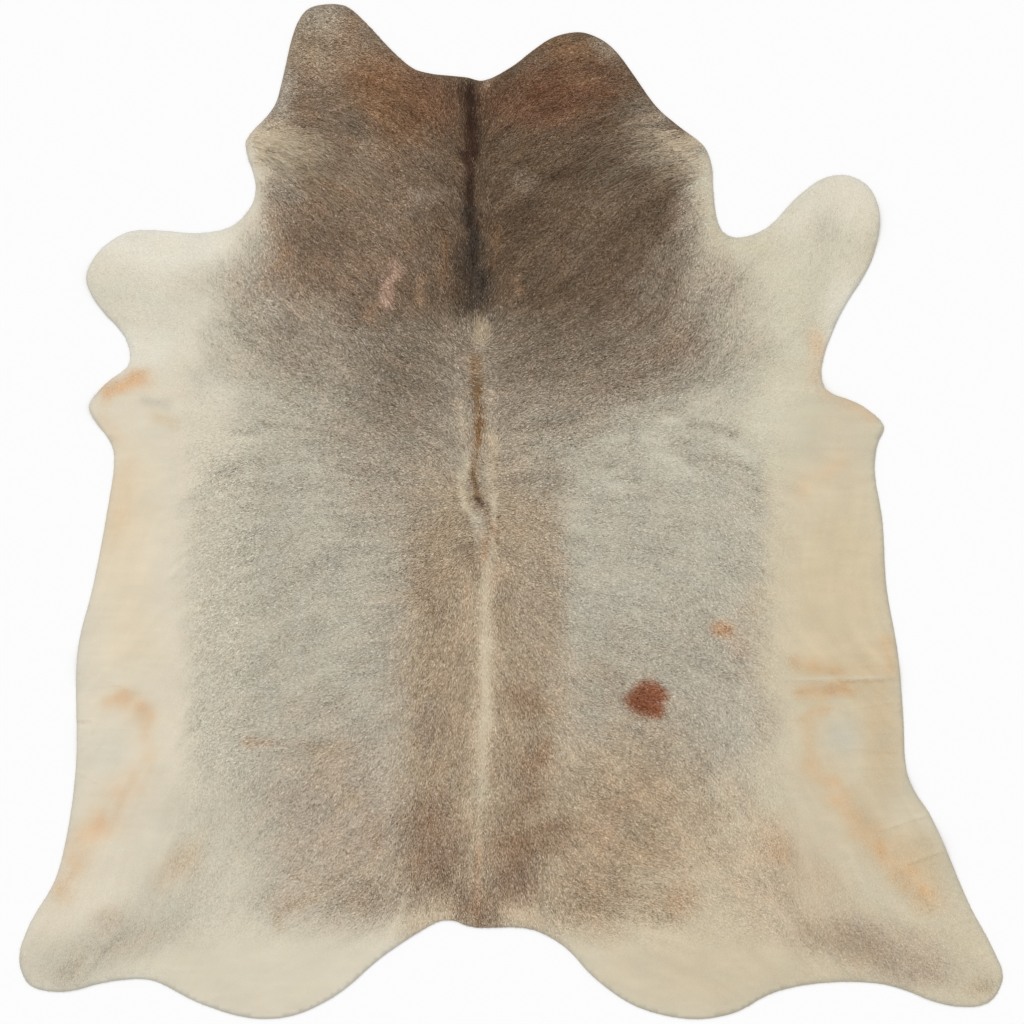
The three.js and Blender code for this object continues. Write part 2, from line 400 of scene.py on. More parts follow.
# Colours of the hair, as a dyer would name them, in sRGB from 0 to 255.
TONES = {
    "ivory": (230, 224, 208),
    "milk": (217, 211, 193),
    "left cream": (219, 209, 188),
    "right cream": (207, 196, 171),
    "pale cream": (209, 202, 180),
    "chalk": (211, 207, 189),
    "warm cream": (225, 207, 176),
    "straw": (211, 194, 162),
    "honey": (203, 183, 150),
    "apricot": (217, 182, 144),
    "orange": (203, 168, 128),
    "pale grey": (197, 190, 171),
    "grey": (182, 175, 158),
    "warm grey": (172, 160, 142),
    "ash": (150, 140, 124),
    "stone": (164, 152, 134),
    "taupe": (146, 132, 114),
    "dark taupe": (123, 108, 90),
    "slate": (104, 94, 82),
    "rose tan": (174, 157, 137),
    "tan": (168, 147, 120),
    "sand": (192, 174, 148),
    "oat": (168, 152, 130),
    "fawn": (165, 146, 121),
    "light fawn": (198, 180, 153),
    "pale fawn": (204, 191, 166),
    "light tan": (179, 157, 129),
    "rosy fawn": (184, 153, 124),
    "hazel": (144, 121, 98),
    "plum": (132, 110, 94),
    "brown": (131, 110, 89),
    "chestnut": (121, 89, 61),
    "dun": (108, 89, 70),
    "dark brown": (98, 79, 60),
    "red brown": (133, 99, 69),
    "dark red": (115, 81, 58),
    "black brown": (62, 43, 31),
    "charcoal": (68, 58, 49),
    "root brown": (117, 85, 52),
    "rust": (131, 78, 51),
    "rust tan": (176, 138, 104),
    "scar": (178, 148, 128),
}

# Soft patches of the coat, laid over each other in this order. Sizes are in pixels, and turn is in degrees
# clockwise. Fade is the share of the size over which a patch thins out, corner is 2 for an oval and 4 for a
# rounded box, and rag is how ragged its edge is.
Patch = namedtuple("Patch", "place tone x y half_x half_y turn fade share corner rag", defaults=[2, 1])
PATCHES = [
    Patch("left armpit", "milk", 165, 320, 100, 75, 0, 0.9, 0.8),
    Patch("left foreleg", "ivory", 165, 248, 125, 52, 4, 0.8, 0.9),
    Patch("left foreleg tip", "chalk", 115, 288, 62, 28, 8, 0.9, 0.8),
    Patch("left foreleg root", "pale grey", 200, 286, 44, 32, 0, 1.0, 0.6),
    Patch("left elbow", "ivory", 142, 352, 48, 34, 0, 0.9, 0.8),
    Patch("right armpit", "pale cream", 785, 310, 120, 130, 0, 0.8, 0.9),
    Patch("right foreleg", "ivory", 838, 200, 100, 72, -25, 0.8, 0.7),
    Patch("right foreleg, inside", "pale cream", 830, 250, 42, 62, 15, 0.9, 0.8),
    Patch("right foreleg, grey", "pale grey", 826, 228, 36, 32, 0, 1.0, 0.6),
    Patch("right foreleg, rim", "ivory", 844, 300, 36, 62, 15, 1.0, 0.7),
    Patch("right elbow, upper rim", "ivory", 828, 346, 24, 32, 0, 1.0, 0.6),
    Patch("left belly", "warm cream", 118, 520, 60, 125, 0, 0.9, 0.7),
    Patch("left belly, low", "warm cream", 130, 640, 50, 70, 0, 0.9, 0.4),
    Patch("right belly", "straw", 840, 600, 85, 180, 0, 0.8, 0.8),
    Patch("right flank, edge", "honey", 882, 740, 34, 120, 0, 0.9, 0.8),
    Patch("right flank, upper edge", "honey", 864, 676, 44, 48, 0, 1.0, 0.8),
    Patch("right thigh, edge", "honey", 918, 858, 56, 40, 50, 0.9, 0.8),
    Patch("left hind leg", "pale grey", 80, 958, 120, 46, -10, 0.9, 0.8),
    Patch("left rump", "pale cream", 230, 968, 240, 60, 0, 0.8, 0.5),
    Patch("right rump", "honey", 770, 955, 270, 70, 0, 0.8, 0.25),
    Patch("left hind leg, inside", "pale grey", 165, 915, 85, 52, -20, 0.9, 0.9),
    Patch("left hind leg, streak", "warm grey", 120, 942, 80, 28, -16, 1.0, 0.5),
    Patch("left hind leg, tip", "stone", 70, 972, 40, 22, -10, 1.0, 0.35),
    Patch("left hind leg, spot", "rose tan", 110, 918, 36, 22, -20, 1.0, 0.35),
    Patch("left thigh", "pale grey", 205, 860, 110, 120, 0, 1.0, 0.7),
    Patch("left thigh, pale", "left cream", 236, 866, 44, 38, 0, 1.0, 0.7),
    Patch("left thigh, warm", "light fawn", 246, 812, 46, 46, 0, 1.0, 0.35),
    Patch("left hind side", "sand", 188, 858, 66, 28, -42, 1.0, 0.75),
    Patch("left saddle", "pale grey", 324, 600, 150, 360, 0, 0.22, 0.9, 4, 2.2),
    Patch("left saddle, inner", "grey", 338, 600, 130, 340, 0, 0.46, 1.0, 4),
    Patch("left saddle, rear", "warm grey", 312, 708, 50, 32, 0, 1.0, 0.5),
    Patch("left saddle, front", "grey", 240, 466, 40, 16, -10, 0.9, 0.4),
    Patch("left saddle, front corner", "left cream", 204, 424, 62, 54, 0, 0.9, 0.8),
    Patch("left saddle, front edge", "pale grey", 262, 420, 54, 30, 0, 0.9, 0.45),
    Patch("left saddle, front inside", "stone", 350, 430, 60, 40, 0, 0.9, 0.95),
    Patch("left saddle, near the back", "stone", 388, 470, 80, 105, 0, 0.9, 1.0),
    Patch("left of the back", "warm grey", 386, 640, 40, 150, 0, 0.9, 0.6),
    Patch("right saddle", "grey", 650, 560, 128, 270, 0, 0.24, 1.0, 4),
    Patch("right saddle, rear", "stone", 650, 700, 150, 110, 0, 0.9, 0.5),
    Patch("right saddle, outside", "warm grey", 735, 500, 34, 50, 0, 0.9, 0.15),
    Patch("right saddle, pale", "pale grey", 672, 468, 40, 24, 0, 1.0, 0.6),
    Patch("right saddle, front pale", "pale grey", 650, 440, 42, 18, 0, 0.9, 0.5),
    Patch("around the rust spot", "stone", 632, 686, 44, 34, 0, 1.0, 0.5),
    Patch("below the rust spot", "stone", 648, 732, 48, 22, 0, 1.0, 0.6),
    Patch("above the small spot", "stone", 706, 617, 20, 14, 0, 0.9, 0.5),
    Patch("right saddle, rear corner", "warm grey", 765, 722, 34, 42, 0, 1.0, 0.6),
    Patch("right saddle, warm edge", "sand", 752, 635, 28, 90, 0, 0.9, 0.5),
    Patch("right saddle, tan edge", "rose tan", 736, 645, 24, 40, 0, 1.0, 0.6),
    Patch("left hind", "rose tan", 342, 815, 122, 145, 0, 0.9, 0.8),
    Patch("left hind, low", "oat", 364, 886, 96, 64, 0, 1.0, 0.8),
    Patch("left hind, red", "tan", 325, 765, 40, 40, 0, 0.9, 0.3),
    Patch("left hind, pale", "sand", 346, 797, 24, 20, 0, 1.0, 0.65),
    Patch("left hind, front", "tan", 322, 748, 44, 16, 0, 1.0, 0.35),
    Patch("left hind, inside", "hazel", 378, 838, 32, 44, 0, 1.0, 0.35),
    Patch("left hind, dark", "hazel", 374, 902, 52, 30, 0, 1.0, 0.35),
    Patch("left hind, low outside", "rose tan", 284, 900, 44, 32, 0, 1.0, 0.6),
    Patch("right hind", "tan", 630, 810, 150, 130, 0, 0.9, 0.9),
    Patch("right hind, outside", "sand", 752, 865, 110, 85, 0, 0.9, 0.9),
    Patch("right thigh, low", "sand", 818, 884, 56, 34, 25, 0.9, 0.7),
    Patch("right hind, low", "tan", 592, 898, 82, 58, 0, 0.9, 1.0),
    Patch("right hind, inside", "tan", 585, 850, 62, 76, 0, 0.9, 0.8),
    Patch("right hind, upper", "tan", 612, 762, 44, 44, 0, 1.0, 0.4),
    Patch("right hind, lower", "tan", 642, 854, 80, 30, 0, 1.0, 0.9),
    Patch("right hind, middle", "fawn", 614, 826, 40, 30, 0, 1.0, 0.6),
    Patch("right hind, edge", "rose tan", 740, 796, 32, 32, 0, 1.0, 0.5),
    Patch("right rump, tan", "tan", 668, 905, 46, 36, 0, 0.9, 0.7),
    Patch("right hind leg", "rose tan", 868, 945, 150, 45, 14, 0.9, 0.8),
    Patch("right hind leg, streak", "tan", 842, 940, 84, 26, 22, 1.0, 0.6),
    Patch("right hind leg, dark", "stone", 846, 938, 46, 11, 27, 1.0, 0.2),
    Patch("right thigh, rear", "sand", 785, 902, 90, 36, 22, 1.0, 0.8),
    Patch("right hind leg, low", "rose tan", 915, 975, 60, 26, 10, 1.0, 0.7),
    Patch("right hind leg, tip", "tan", 982, 988, 24, 16, -15, 1.0, 0.4),
    Patch("back", "fawn", 482, 690, 104, 330, 0, 0.5, 1.0, 4),
    Patch("back, right", "oat", 535, 590, 44, 120, 0, 0.9, 0.8),
    Patch("back, left", "hazel", 425, 590, 24, 90, 0, 1.0, 0.25),
    Patch("back, left rear", "plum", 428, 725, 26, 50, 0, 1.0, 0.25),
    Patch("back, right rear", "hazel", 525, 702, 28, 34, 0, 1.0, 0.65),
    Patch("right of the back, warm", "light tan", 560, 706, 36, 50, 0, 1.0, 0.45),
    Patch("back, right rear, low", "hazel", 536, 774, 36, 56, 10, 1.0, 0.75),
    Patch("right of the back, warm rear", "tan", 558, 812, 34, 40, 0, 1.0, 0.45),
    Patch("left tail side", "hazel", 430, 845, 54, 82, 6, 0.9, 1.0),
    Patch("right tail side", "hazel", 520, 866, 44, 74, -8, 0.9, 0.9),
    Patch("right tail side, upper", "hazel", 556, 836, 32, 38, 0, 1.0, 0.75),
    Patch("tail", "hazel", 480, 915, 44, 40, 0, 0.9, 0.8),
    Patch("left of the tail end", "light fawn", 428, 922, 44, 20, -20, 0.9, 0.8),
    Patch("right of the tail end", "light fawn", 522, 919, 36, 20, 10, 0.9, 1.0),
    Patch("right of the tail end, far", "tan", 572, 908, 34, 22, 0, 0.9, 0.6),
    Patch("withers", "taupe", 480, 385, 125, 105, 0, 0.8, 0.95),
    Patch("left shoulder", "taupe", 330, 338, 146, 94, 8, 0.8, 0.85),
    Patch("left shoulder, pale", "stone", 284, 350, 38, 30, 0, 0.9, 0.5),
    Patch("left shoulder, near the back", "dark taupe", 396, 384, 74, 86, 0, 0.9, 0.75),
    Patch("left withers", "dark taupe", 428, 346, 50, 40, 0, 0.9, 0.6),
    Patch("right shoulder", "taupe", 605, 345, 170, 100, -8, 0.7, 1.0),
    Patch("right shoulder, front", "dark taupe", 572, 325, 142, 85, -6, 0.9, 1.0),
    Patch("right shoulder, rear", "taupe", 566, 416, 58, 52, 0, 0.9, 0.7),
    Patch("right shoulder, brown", "hazel", 628, 388, 56, 26, -12, 0.9, 0.3),
    Patch("right saddle, front", "pale grey", 704, 420, 76, 42, 0, 0.9, 0.8),
    Patch("right shoulder, red", "hazel", 668, 350, 52, 26, -14, 0.9, 0.5),
    Patch("right shoulder, outside", "stone", 714, 296, 60, 54, 0, 0.9, 0.85),
    Patch("right shoulder, far", "stone", 756, 348, 38, 32, 0, 1.0, 0.4),
    Patch("withers, front", "dark taupe", 425, 312, 130, 50, 0, 0.9, 1.0),
    Patch("left shoulder, front", "dark taupe", 288, 314, 30, 24, 0, 1.0, 0.5),
    Patch("right withers", "dark taupe", 535, 350, 54, 46, 0, 0.9, 0.5),
    Patch("whorl", "stone", 490, 458, 76, 60, 0, 0.9, 0.6),
    Patch("right of the whorl", "ash", 540, 478, 46, 46, 0, 0.9, 0.5),
    Patch("right of the parting", "ash", 536, 424, 40, 44, 0, 1.0, 0.4),
    Patch("above the parting", "stone", 472, 378, 36, 26, 0, 1.0, 0.7),
    Patch("left of the whorl", "ash", 418, 508, 36, 36, 0, 0.9, 0.35),
    Patch("right elbow, pale", "pale cream", 768, 424, 66, 64, 0, 0.9, 0.95),
    Patch("left neck, low", "stone", 274, 284, 78, 60, 0, 0.8, 0.95),
    Patch("left neck", "brown", 370, 150, 122, 185, 0, 0.3, 1.0, 4),
    Patch("right neck", "dun", 590, 160, 122, 185, 0, 0.3, 1.0, 4),
    Patch("neck, middle", "dun", 480, 200, 70, 150, 0, 0.6, 1.0, 4),
    Patch("right neck, corner", "ash", 650, 288, 42, 30, 0, 0.9, 0.5),
    Patch("neck, rear", "dark brown", 470, 290, 128, 32, 0, 0.9, 0.8),
    Patch("beside the scar", "dun", 368, 304, 42, 40, 20, 0.9, 0.55),
    Patch("left neck, front", "chestnut", 408, 112, 62, 52, 0, 0.9, 0.9),
    Patch("left neck, inside", "dun", 406, 168, 36, 30, 0, 0.9, 0.6),
    Patch("left neck, warm", "light tan", 356, 172, 40, 42, 0, 1.0, 0.3),
    Patch("left neck, pale", "taupe", 432, 194, 34, 14, 0, 0.9, 0.6),
    Patch("left neck, slate", "slate", 418, 214, 22, 16, 0, 0.9, 0.5),
    Patch("left neck, edge", "stone", 282, 185, 36, 50, 0, 0.9, 0.8),
    Patch("left neck, soft edge", "stone", 262, 238, 32, 36, 0, 1.0, 0.45),
    Patch("left neck, dark", "dark brown", 322, 242, 46, 46, 0, 1.0, 0.2),
    Patch("left neck, dark edge", "slate", 288, 196, 20, 14, 20, 0.9, 0.25),
    Patch("right neck, edge", "stone", 694, 224, 34, 66, 0, 0.9, 0.75),
    Patch("right neck, soft edge", "ash", 668, 258, 36, 32, 0, 1.0, 0.55),
    Patch("right armpit, grey", "warm grey", 712, 266, 32, 28, 0, 1.0, 0.5),
    Patch("right neck, low", "dark brown", 622, 226, 60, 28, -46, 0.9, 0.2),
    Patch("right neck, light", "brown", 610, 204, 44, 32, -30, 1.0, 0.4),
    Patch("right neck, dark middle", "dark brown", 585, 166, 52, 28, -20, 0.9, 0.9),
    Patch("beside the ridge, left", "dun", 440, 240, 42, 90, 0, 0.9, 0.6),
    Patch("beside the ridge, right", "dark brown", 520, 184, 60, 130, 0, 0.9, 0.85),
    Patch("right of the ridge, pale", "taupe", 524, 182, 24, 26, 0, 0.9, 0.4),
    Patch("right of the ridge, grey", "ash", 510, 138, 16, 10, 0, 0.9, 0.2),
    Patch("left cheek", "fawn", 318, 46, 56, 54, 0, 0.8, 0.85),
    Patch("left cheek, inner edge", "hazel", 350, 38, 34, 46, 20, 0.9, 1.0),
    Patch("left cheek, tip", "stone", 318, 16, 36, 30, 0, 0.9, 0.65),
    Patch("left cheek, edge", "stone", 280, 96, 24, 60, 8, 0.9, 1.0),
    Patch("left cheek, inner", "red brown", 378, 82, 56, 44, 20, 0.9, 1.0),
    Patch("left cheek, warm", "hazel", 322, 64, 46, 42, 0, 0.9, 0.5),
    Patch("left of the nape", "dark red", 424, 84, 36, 20, 10, 0.9, 0.6),
    Patch("left cheek, slate", "slate", 350, 128, 30, 18, 20, 0.9, 0.4),
    Patch("nape", "dark red", 475, 102, 90, 46, 0, 0.9, 0.8),
    Patch("right cheek", "dark red", 560, 95, 100, 56, -15, 0.9, 1.0),
    Patch("right cheek, red", "red brown", 584, 80, 26, 14, 0, 0.9, 0.6),
    Patch("right cheek, tip", "taupe", 606, 48, 32, 20, 35, 0.9, 0.75),
    Patch("right cheek, top", "red brown", 572, 48, 52, 24, 12, 0.9, 0.7),
    Patch("right cheek, rim", "taupe", 652, 112, 34, 16, 48, 0.9, 0.5),
    Patch("right cheek, outside", "taupe", 652, 134, 60, 34, 45, 0.9, 0.8),
    Patch("right cheek, dark", "slate", 634, 106, 26, 9, 20, 0.9, 0.5),
    Patch("left throat", "sand", 276, 139, 64, 28, 6, 0.9, 1.0, 2, 2.5),
    Patch("left throat, pale", "pale cream", 272, 152, 44, 34, 0, 0.9, 0.8),
    Patch("left throat, edge", "left cream", 246, 214, 24, 46, 0, 0.9, 0.5),
    Patch("left throat, upper edge", "left cream", 252, 176, 26, 44, 0, 0.9, 0.8),
    Patch("right throat", "warm grey", 684, 156, 50, 30, 10, 0.9, 1.0, 2, 2),
    Patch("right throat, pale", "pale grey", 705, 178, 28, 36, 0, 0.9, 0.85),
    Patch("right throat, edge", "right cream", 716, 205, 30, 60, 0, 0.9, 1.0),
    Patch("left flank, pale", "chalk", 108, 750, 30, 32, 0, 0.9, 0.65),
    Patch("right flank, pale", "pale grey", 842, 736, 30, 32, 0, 0.9, 0.8),
    Patch("right flank, grey", "grey", 886, 736, 18, 18, 0, 0.9, 0.2),
    Patch("right rump, red", "rust tan", 680, 898, 32, 36, 20, 1.0, 0.25),
    Patch("right thigh, red", "rust tan", 778, 848, 38, 26, 45, 1.0, 0.35),
    Patch("rust spot", "rust", 646, 699, 27, 23, 0, 0.65, 0.95, 2, 0.8),
    Patch("rust spot, upper lobe", "rust", 650, 688, 17, 13, 10, 0.7, 0.7, 2, 0.8),
    Patch("rust spot, right lobe", "rust", 659, 694, 14, 10, 10, 0.8, 0.8, 2, 0.8),
    Patch("rust spot, lower lobe", "rust", 655, 711, 15, 12, 25, 0.8, 0.85, 2, 0.8),
    Patch("rust spot, point", "rust", 634, 700, 17, 10, 0, 0.8, 0.8, 2, 0.8),
    Patch("small spot", "rust tan", 722, 629, 18, 15, 10, 0.9, 0.85),
    Patch("tail, left pale", "sand", 466, 812, 22, 36, 0, 1.0, 0.38),
    Patch("left saddle, light", "pale cream", 244, 630, 44, 56, 0, 1.0, 0.35),
    Patch("left saddle, front light", "ivory", 214, 394, 44, 30, 0, 1.0, 0.35),
    Patch("right of the whorl, pale", "light fawn", 482, 466, 22, 26, 0, 1.0, 0.22),
    Patch("right of the stripe, pale", "light fawn", 496, 556, 20, 30, 0, 1.0, 0.32),
    Patch("right of the stripe, brown", "tan", 497, 646, 14, 24, 0, 1.0, 0.45),
    Patch("right shoulder, light", "taupe", 615, 315, 26, 22, 0, 1.0, 0.2),
    Patch("left thigh, light", "left cream", 238, 868, 46, 44, 0, 1.0, 0.42),
    Patch("right saddle, edge light", "pale cream", 742, 500, 24, 84, 0, 1.0, 0.3),
    Patch("right saddle, front warm", "sand", 592, 430, 26, 50, 0, 1.0, 0.2),
    Patch("right saddle, rear warm", "tan", 600, 680, 44, 54, 0, 1.0, 0.25),
    Patch("left of the back, brown", "hazel", 434, 766, 20, 22, 0, 1.0, 0.35),
    Patch("tail, middle brown", "brown", 465, 887, 14, 14, 0, 1.0, 0.35),
    Patch("right hind, tan", "fawn", 615, 766, 24, 24, 0, 1.0, 0.4),
]

# Narrow marks of the coat, laid over the patches, and a few lines of painted highlight and painted shade
# along creases and folds: soft lines from one place to another. Taper is how much of a line's share and
# width is gone at its end.
Stroke = namedtuple("Stroke", "place tone x y to_x to_y half_width share taper", defaults=[0])
STROKES = [
    Stroke("dark ridge, front shade", "dark brown", 474, 86, 474, 150, 20, 0.5),
    Stroke("dark ridge, middle shade", "dark brown", 472, 152, 473, 225, 15, 0.35),
    Stroke("dark ridge, rear shade", "dark brown", 474, 220, 477, 290, 22, 0.4),
    Stroke("dark ridge, front", "black brown", 471, 88, 471, 150, 9, 0.75),
    Stroke("dark ridge, core", "black brown", 469, 100, 469, 152, 5, 0.7),
    Stroke("dark ridge, notch", "black brown", 462, 152, 474, 153, 4, 0.7),
    Stroke("dark ridge, middle", "black brown", 469, 156, 470, 225, 6, 0.9),
    Stroke("dark ridge, rear", "charcoal", 471, 214, 473, 256, 9, 0.9),
    Stroke("dark ridge, spread", "charcoal", 473, 258, 477, 298, 14, 0.65),
    Stroke("dark ridge, end", "charcoal", 477, 292, 484, 310, 15, 0.4),
    Stroke("pale tuft", "light fawn", 479, 324, 480, 342, 9, 0.45),
    Stroke("left of the ridge, tinge", "red brown", 445, 240, 443, 280, 5, 0.4),
    Stroke("right of the ridge, tinge", "red brown", 498, 225, 494, 265, 5, 0.4),
    Stroke("right neck, tinge", "rust tan", 519, 280, 520, 294, 5, 0.35),
    Stroke("left neck, tinge", "rust tan", 420, 278, 419, 300, 5, 0.35),
    Stroke("left throat hairs, upper", "light fawn", 258, 136, 334, 160, 7, 0.55, 0.8),
    Stroke("left throat hairs, middle", "light fawn", 262, 150, 350, 186, 6, 0.65, 0.8),
    Stroke("left throat hairs, low", "sand", 256, 162, 308, 194, 6, 0.5, 0.8),
    Stroke("left throat hairs, far", "stone", 322, 172, 384, 204, 5, 0.4, 0.9),
    Stroke("left neck, orange streak", "rust tan", 316, 178, 352, 194, 5, 0.3),
    Stroke("left neck, low tinge", "rust tan", 284, 252, 264, 288, 8, 0.25),
    Stroke("right throat hairs, top", "light fawn", 662, 116, 616, 126, 5, 0.45, 0.8),
    Stroke("right throat hairs, upper", "light fawn", 700, 140, 622, 162, 6, 0.6, 0.8),
    Stroke("right throat hairs, low", "light fawn", 708, 160, 640, 186, 6, 0.55, 0.8),
    Stroke("right throat hairs, far", "stone", 650, 160, 588, 184, 5, 0.35, 0.9),
    Stroke("left lip of the parting", "light fawn", 461, 400, 464, 446, 7, 0.4),
    Stroke("left lip, rear", "pale fawn", 466, 454, 466, 476, 4.5, 0.7),
    Stroke("left lip, outside", "pale fawn", 459, 474, 465, 506, 4.5, 0.7),
    Stroke("left lip, turn", "pale fawn", 465, 504, 474, 519, 4.5, 0.75),
    Stroke("right lip of the parting", "light fawn", 491, 396, 491, 440, 7, 0.35),
    Stroke("right lip, middle", "light fawn", 492, 440, 492, 476, 7, 0.65),
    Stroke("right lip, rear", "pale fawn", 490, 480, 494, 504, 5, 0.5),
    Stroke("right lip, cream", "pale fawn", 493, 501, 494, 522, 3.8, 0.75),
    Stroke("right lip, end", "rosy fawn", 494, 524, 493, 540, 3.5, 0.55),
    Stroke("right lip, tail", "pale fawn", 493, 540, 487, 572, 3.5, 0.5),
    Stroke("parting, start", "root brown", 477, 362, 476, 392, 7, 0.6),
    Stroke("parting, front", "root brown", 477, 392, 478, 407, 5, 0.6),
    Stroke("parting, gap", "root brown", 478, 408, 479, 420, 4, 0.38),
    Stroke("parting, deep", "root brown", 479, 422, 478, 441, 5.5, 0.9),
    Stroke("parting, middle", "root brown", 477, 444, 475, 472, 3.5, 0.38),
    Stroke("parting, middle tinge", "rust tan", 476, 442, 474, 474, 5, 0.3),
    Stroke("parting, rear", "root brown", 474, 474, 478, 498, 4, 0.62),
    Stroke("parting, whorl", "black brown", 479, 500, 482, 505, 4, 0.55),
    Stroke("grey wedge", "pale grey", 476, 516, 480, 538, 6, 0.55),
    Stroke("fork of the parting", "hazel", 487, 510, 489, 523, 2, 0.5),
    # Darker lines beside the folds around the end of the parting: painted shade along the folds.
    Stroke("left fold, painted shade", "hazel", 464, 514, 469, 525, 3, 0.45),
    Stroke("left fold, painted shade, rear", "brown", 466, 549, 474, 568, 3, 0.5),
    Stroke("right fold, painted shade", "hazel", 499, 514, 498, 544, 2.5, 0.45),
    Stroke("rose line", "rust tan", 484, 538, 485, 571, 3, 0.5),
    Stroke("pale line, sides", "light fawn", 485, 590, 482, 790, 13, 0.45),
    Stroke("pale line of the back", "pale fawn", 486, 566, 484, 640, 6, 0.7),
    Stroke("pale line, middle", "pale fawn", 486, 640, 486, 720, 7, 0.9),
    Stroke("pale line, rear", "pale fawn", 484, 720, 480, 800, 6.5, 0.8),
    Stroke("pale line, tail end", "light fawn", 480, 800, 478, 850, 5, 0.6),
    Stroke("tail line", "rosy fawn", 478, 846, 477, 908, 4, 0.75),
    Stroke("tail tip", "chestnut", 476, 908, 478, 924, 4, 0.4),
    Stroke("tail, left dark", "brown", 440, 868, 464, 900, 12, 0.55),
    Stroke("tail, right dark", "brown", 520, 864, 496, 892, 12, 0.4),
    Stroke("right of the back, upper red", "red brown", 516, 697, 546, 712, 8, 0.22),
    Stroke("right of the back, red", "red brown", 530, 764, 543, 744, 9, 0.35),
    Stroke("right of the back, lower red", "red brown", 514, 813, 537, 792, 9, 0.3),
    Stroke("right of the tail, brown", "red brown", 508, 848, 562, 822, 12, 0.33),
    Stroke("right of the back, pale", "sand", 540, 785, 566, 752, 9, 0.4),
    Stroke("right of the back, lower pale", "sand", 532, 817, 580, 806, 6, 0.3),
    Stroke("right hind, rosy", "rosy fawn", 600, 838, 628, 808, 13, 0.3),
    Stroke("left hind, warm streak", "light tan", 290, 906, 318, 898, 4, 0.4),
    Stroke("left hind, short warm streak", "light tan", 276, 914, 280, 928, 5, 0.4),
    Stroke("left hind, dark streak", "hazel", 288, 873, 308, 881, 4, 0.25),
    Stroke("left hind mark", "rust tan", 246, 742, 268, 743, 5, 0.4),
    Stroke("left hind mark, end", "taupe", 262, 742, 284, 742, 2.5, 0.35),
    Stroke("left saddle streak, front", "ash", 234, 431, 258, 432, 2.4, 0.5),
    Stroke("left saddle streak, inside", "ash", 260, 424, 307, 427, 3, 0.35),
    Stroke("left saddle streak, middle", "ash", 284, 435, 300, 432, 2.5, 0.3),
    Stroke("left saddle streak, outside", "ash", 214, 471, 240, 467, 6, 0.25),
    Stroke("left saddle streak, low", "ash", 289, 480, 308, 477, 2.5, 0.3),
    Stroke("left saddle streak, low inside", "ash", 300, 461, 323, 457, 2, 0.35),
    Stroke("left saddle streak, lowest", "ash", 234, 484, 256, 487, 4, 0.25),
    Stroke("left saddle, pale streak", "pale cream", 234, 438, 258, 445, 4, 0.45),
    Stroke("left saddle, pale streak inside", "pale grey", 258, 450, 284, 455, 4, 0.45),
    Stroke("right saddle streak, outside", "ash", 692, 423, 736, 433, 5, 0.5),
    Stroke("right saddle streak, front", "ash", 658, 407, 680, 414, 5, 0.3),
    Stroke("right saddle streak, corner", "ash", 727, 459, 756, 469, 5, 0.3),
    Stroke("right saddle streak, edge", "ash", 746, 488, 758, 490, 5, 0.22),
    Stroke("right saddle streak, middle", "ash", 667, 440, 694, 442, 5, 0.25),
    Stroke("right saddle streak, low", "ash", 678, 459, 722, 462, 7, 0.25),
    Stroke("right saddle streak, inside", "ash", 603, 468, 618, 462, 5, 0.3),
    Stroke("right saddle, thin streak", "taupe", 610, 478, 639, 479, 1.8, 0.4),
    Stroke("right saddle, short streak", "ash", 630, 434, 640, 446, 5, 0.3),
    Stroke("right saddle, pale streak top", "chalk", 664, 421, 680, 420, 4, 0.6),
    Stroke("right saddle, pale streak", "chalk", 643, 441, 664, 443, 6, 0.45),
    Stroke("right saddle, pale bend", "chalk", 656, 454, 675, 459, 5, 0.6),
    Stroke("right saddle, pale bend, end", "chalk", 675, 460, 690, 472, 5, 0.5),
    Stroke("right saddle, pale corner", "chalk", 722, 440, 752, 459, 5, 0.5),
    Stroke("right saddle, pale inside", "chalk", 600, 442, 628, 436, 4, 0.35),
    Stroke("right saddle, pale low", "chalk", 648, 477, 704, 474, 4, 0.35),
    Stroke("right saddle, pale low inside", "chalk", 602, 486, 622, 490, 7, 0.3),
    Stroke("left elbow tinge", "apricot", 108, 392, 140, 376, 10, 0.9),
    Stroke("left elbow tinge, rim", "apricot", 100, 418, 118, 440, 8, 0.25),
    Stroke("left elbow tinge, inner", "honey", 156, 417, 174, 423, 6, 0.4),
    Stroke("left elbow smudge", "pale grey", 146, 402, 166, 405, 6, 0.55),
    Stroke("left belly tinge", "apricot", 128, 470, 118, 530, 12, 0.25),
    Stroke("right elbow tinge", "apricot", 832, 392, 872, 414, 9, 0.45),
    Stroke("right elbow tinge, upper", "apricot", 818, 340, 816, 374, 9, 0.45),
    Stroke("right belly tinge", "apricot", 838, 462, 800, 490, 10, 0.3),
    Stroke("left flank tinge, bend", "apricot", 146, 720, 149, 756, 9, 0.3),
    Stroke("left flank red, front", "apricot", 108, 703, 126, 698, 8, 0.55),
    Stroke("left flank red, rear", "apricot", 124, 700, 142, 713, 10, 0.8),
    # A thin darker line along the left flank crease: painted shade in the crease.
    Stroke("left flank crease, painted shade", "oat", 76, 721, 91, 721, 1.3, 0.22),
    Stroke("left flank tinge, low", "apricot", 140, 774, 112, 812, 14, 0.32),
    Stroke("left flank tinge, tail", "apricot", 102, 822, 62, 884, 15, 0.6),
    Stroke("right flank tinge, upper", "orange", 800, 664, 836, 671, 9, 0.5),
    Stroke("right flank tinge, rim", "orange", 886, 640, 892, 668, 7, 0.45),
    Stroke("right flank tinge", "orange", 844, 687, 802, 694, 7, 0.65),
    Stroke("right flank tinge, curl", "orange", 824, 706, 803, 720, 7, 0.45),
    Stroke("right flank tinge, inside", "orange", 834, 689, 853, 692, 6, 0.45),
    Stroke("right flank tinge, bend", "orange", 809, 728, 813, 768, 9, 0.25),
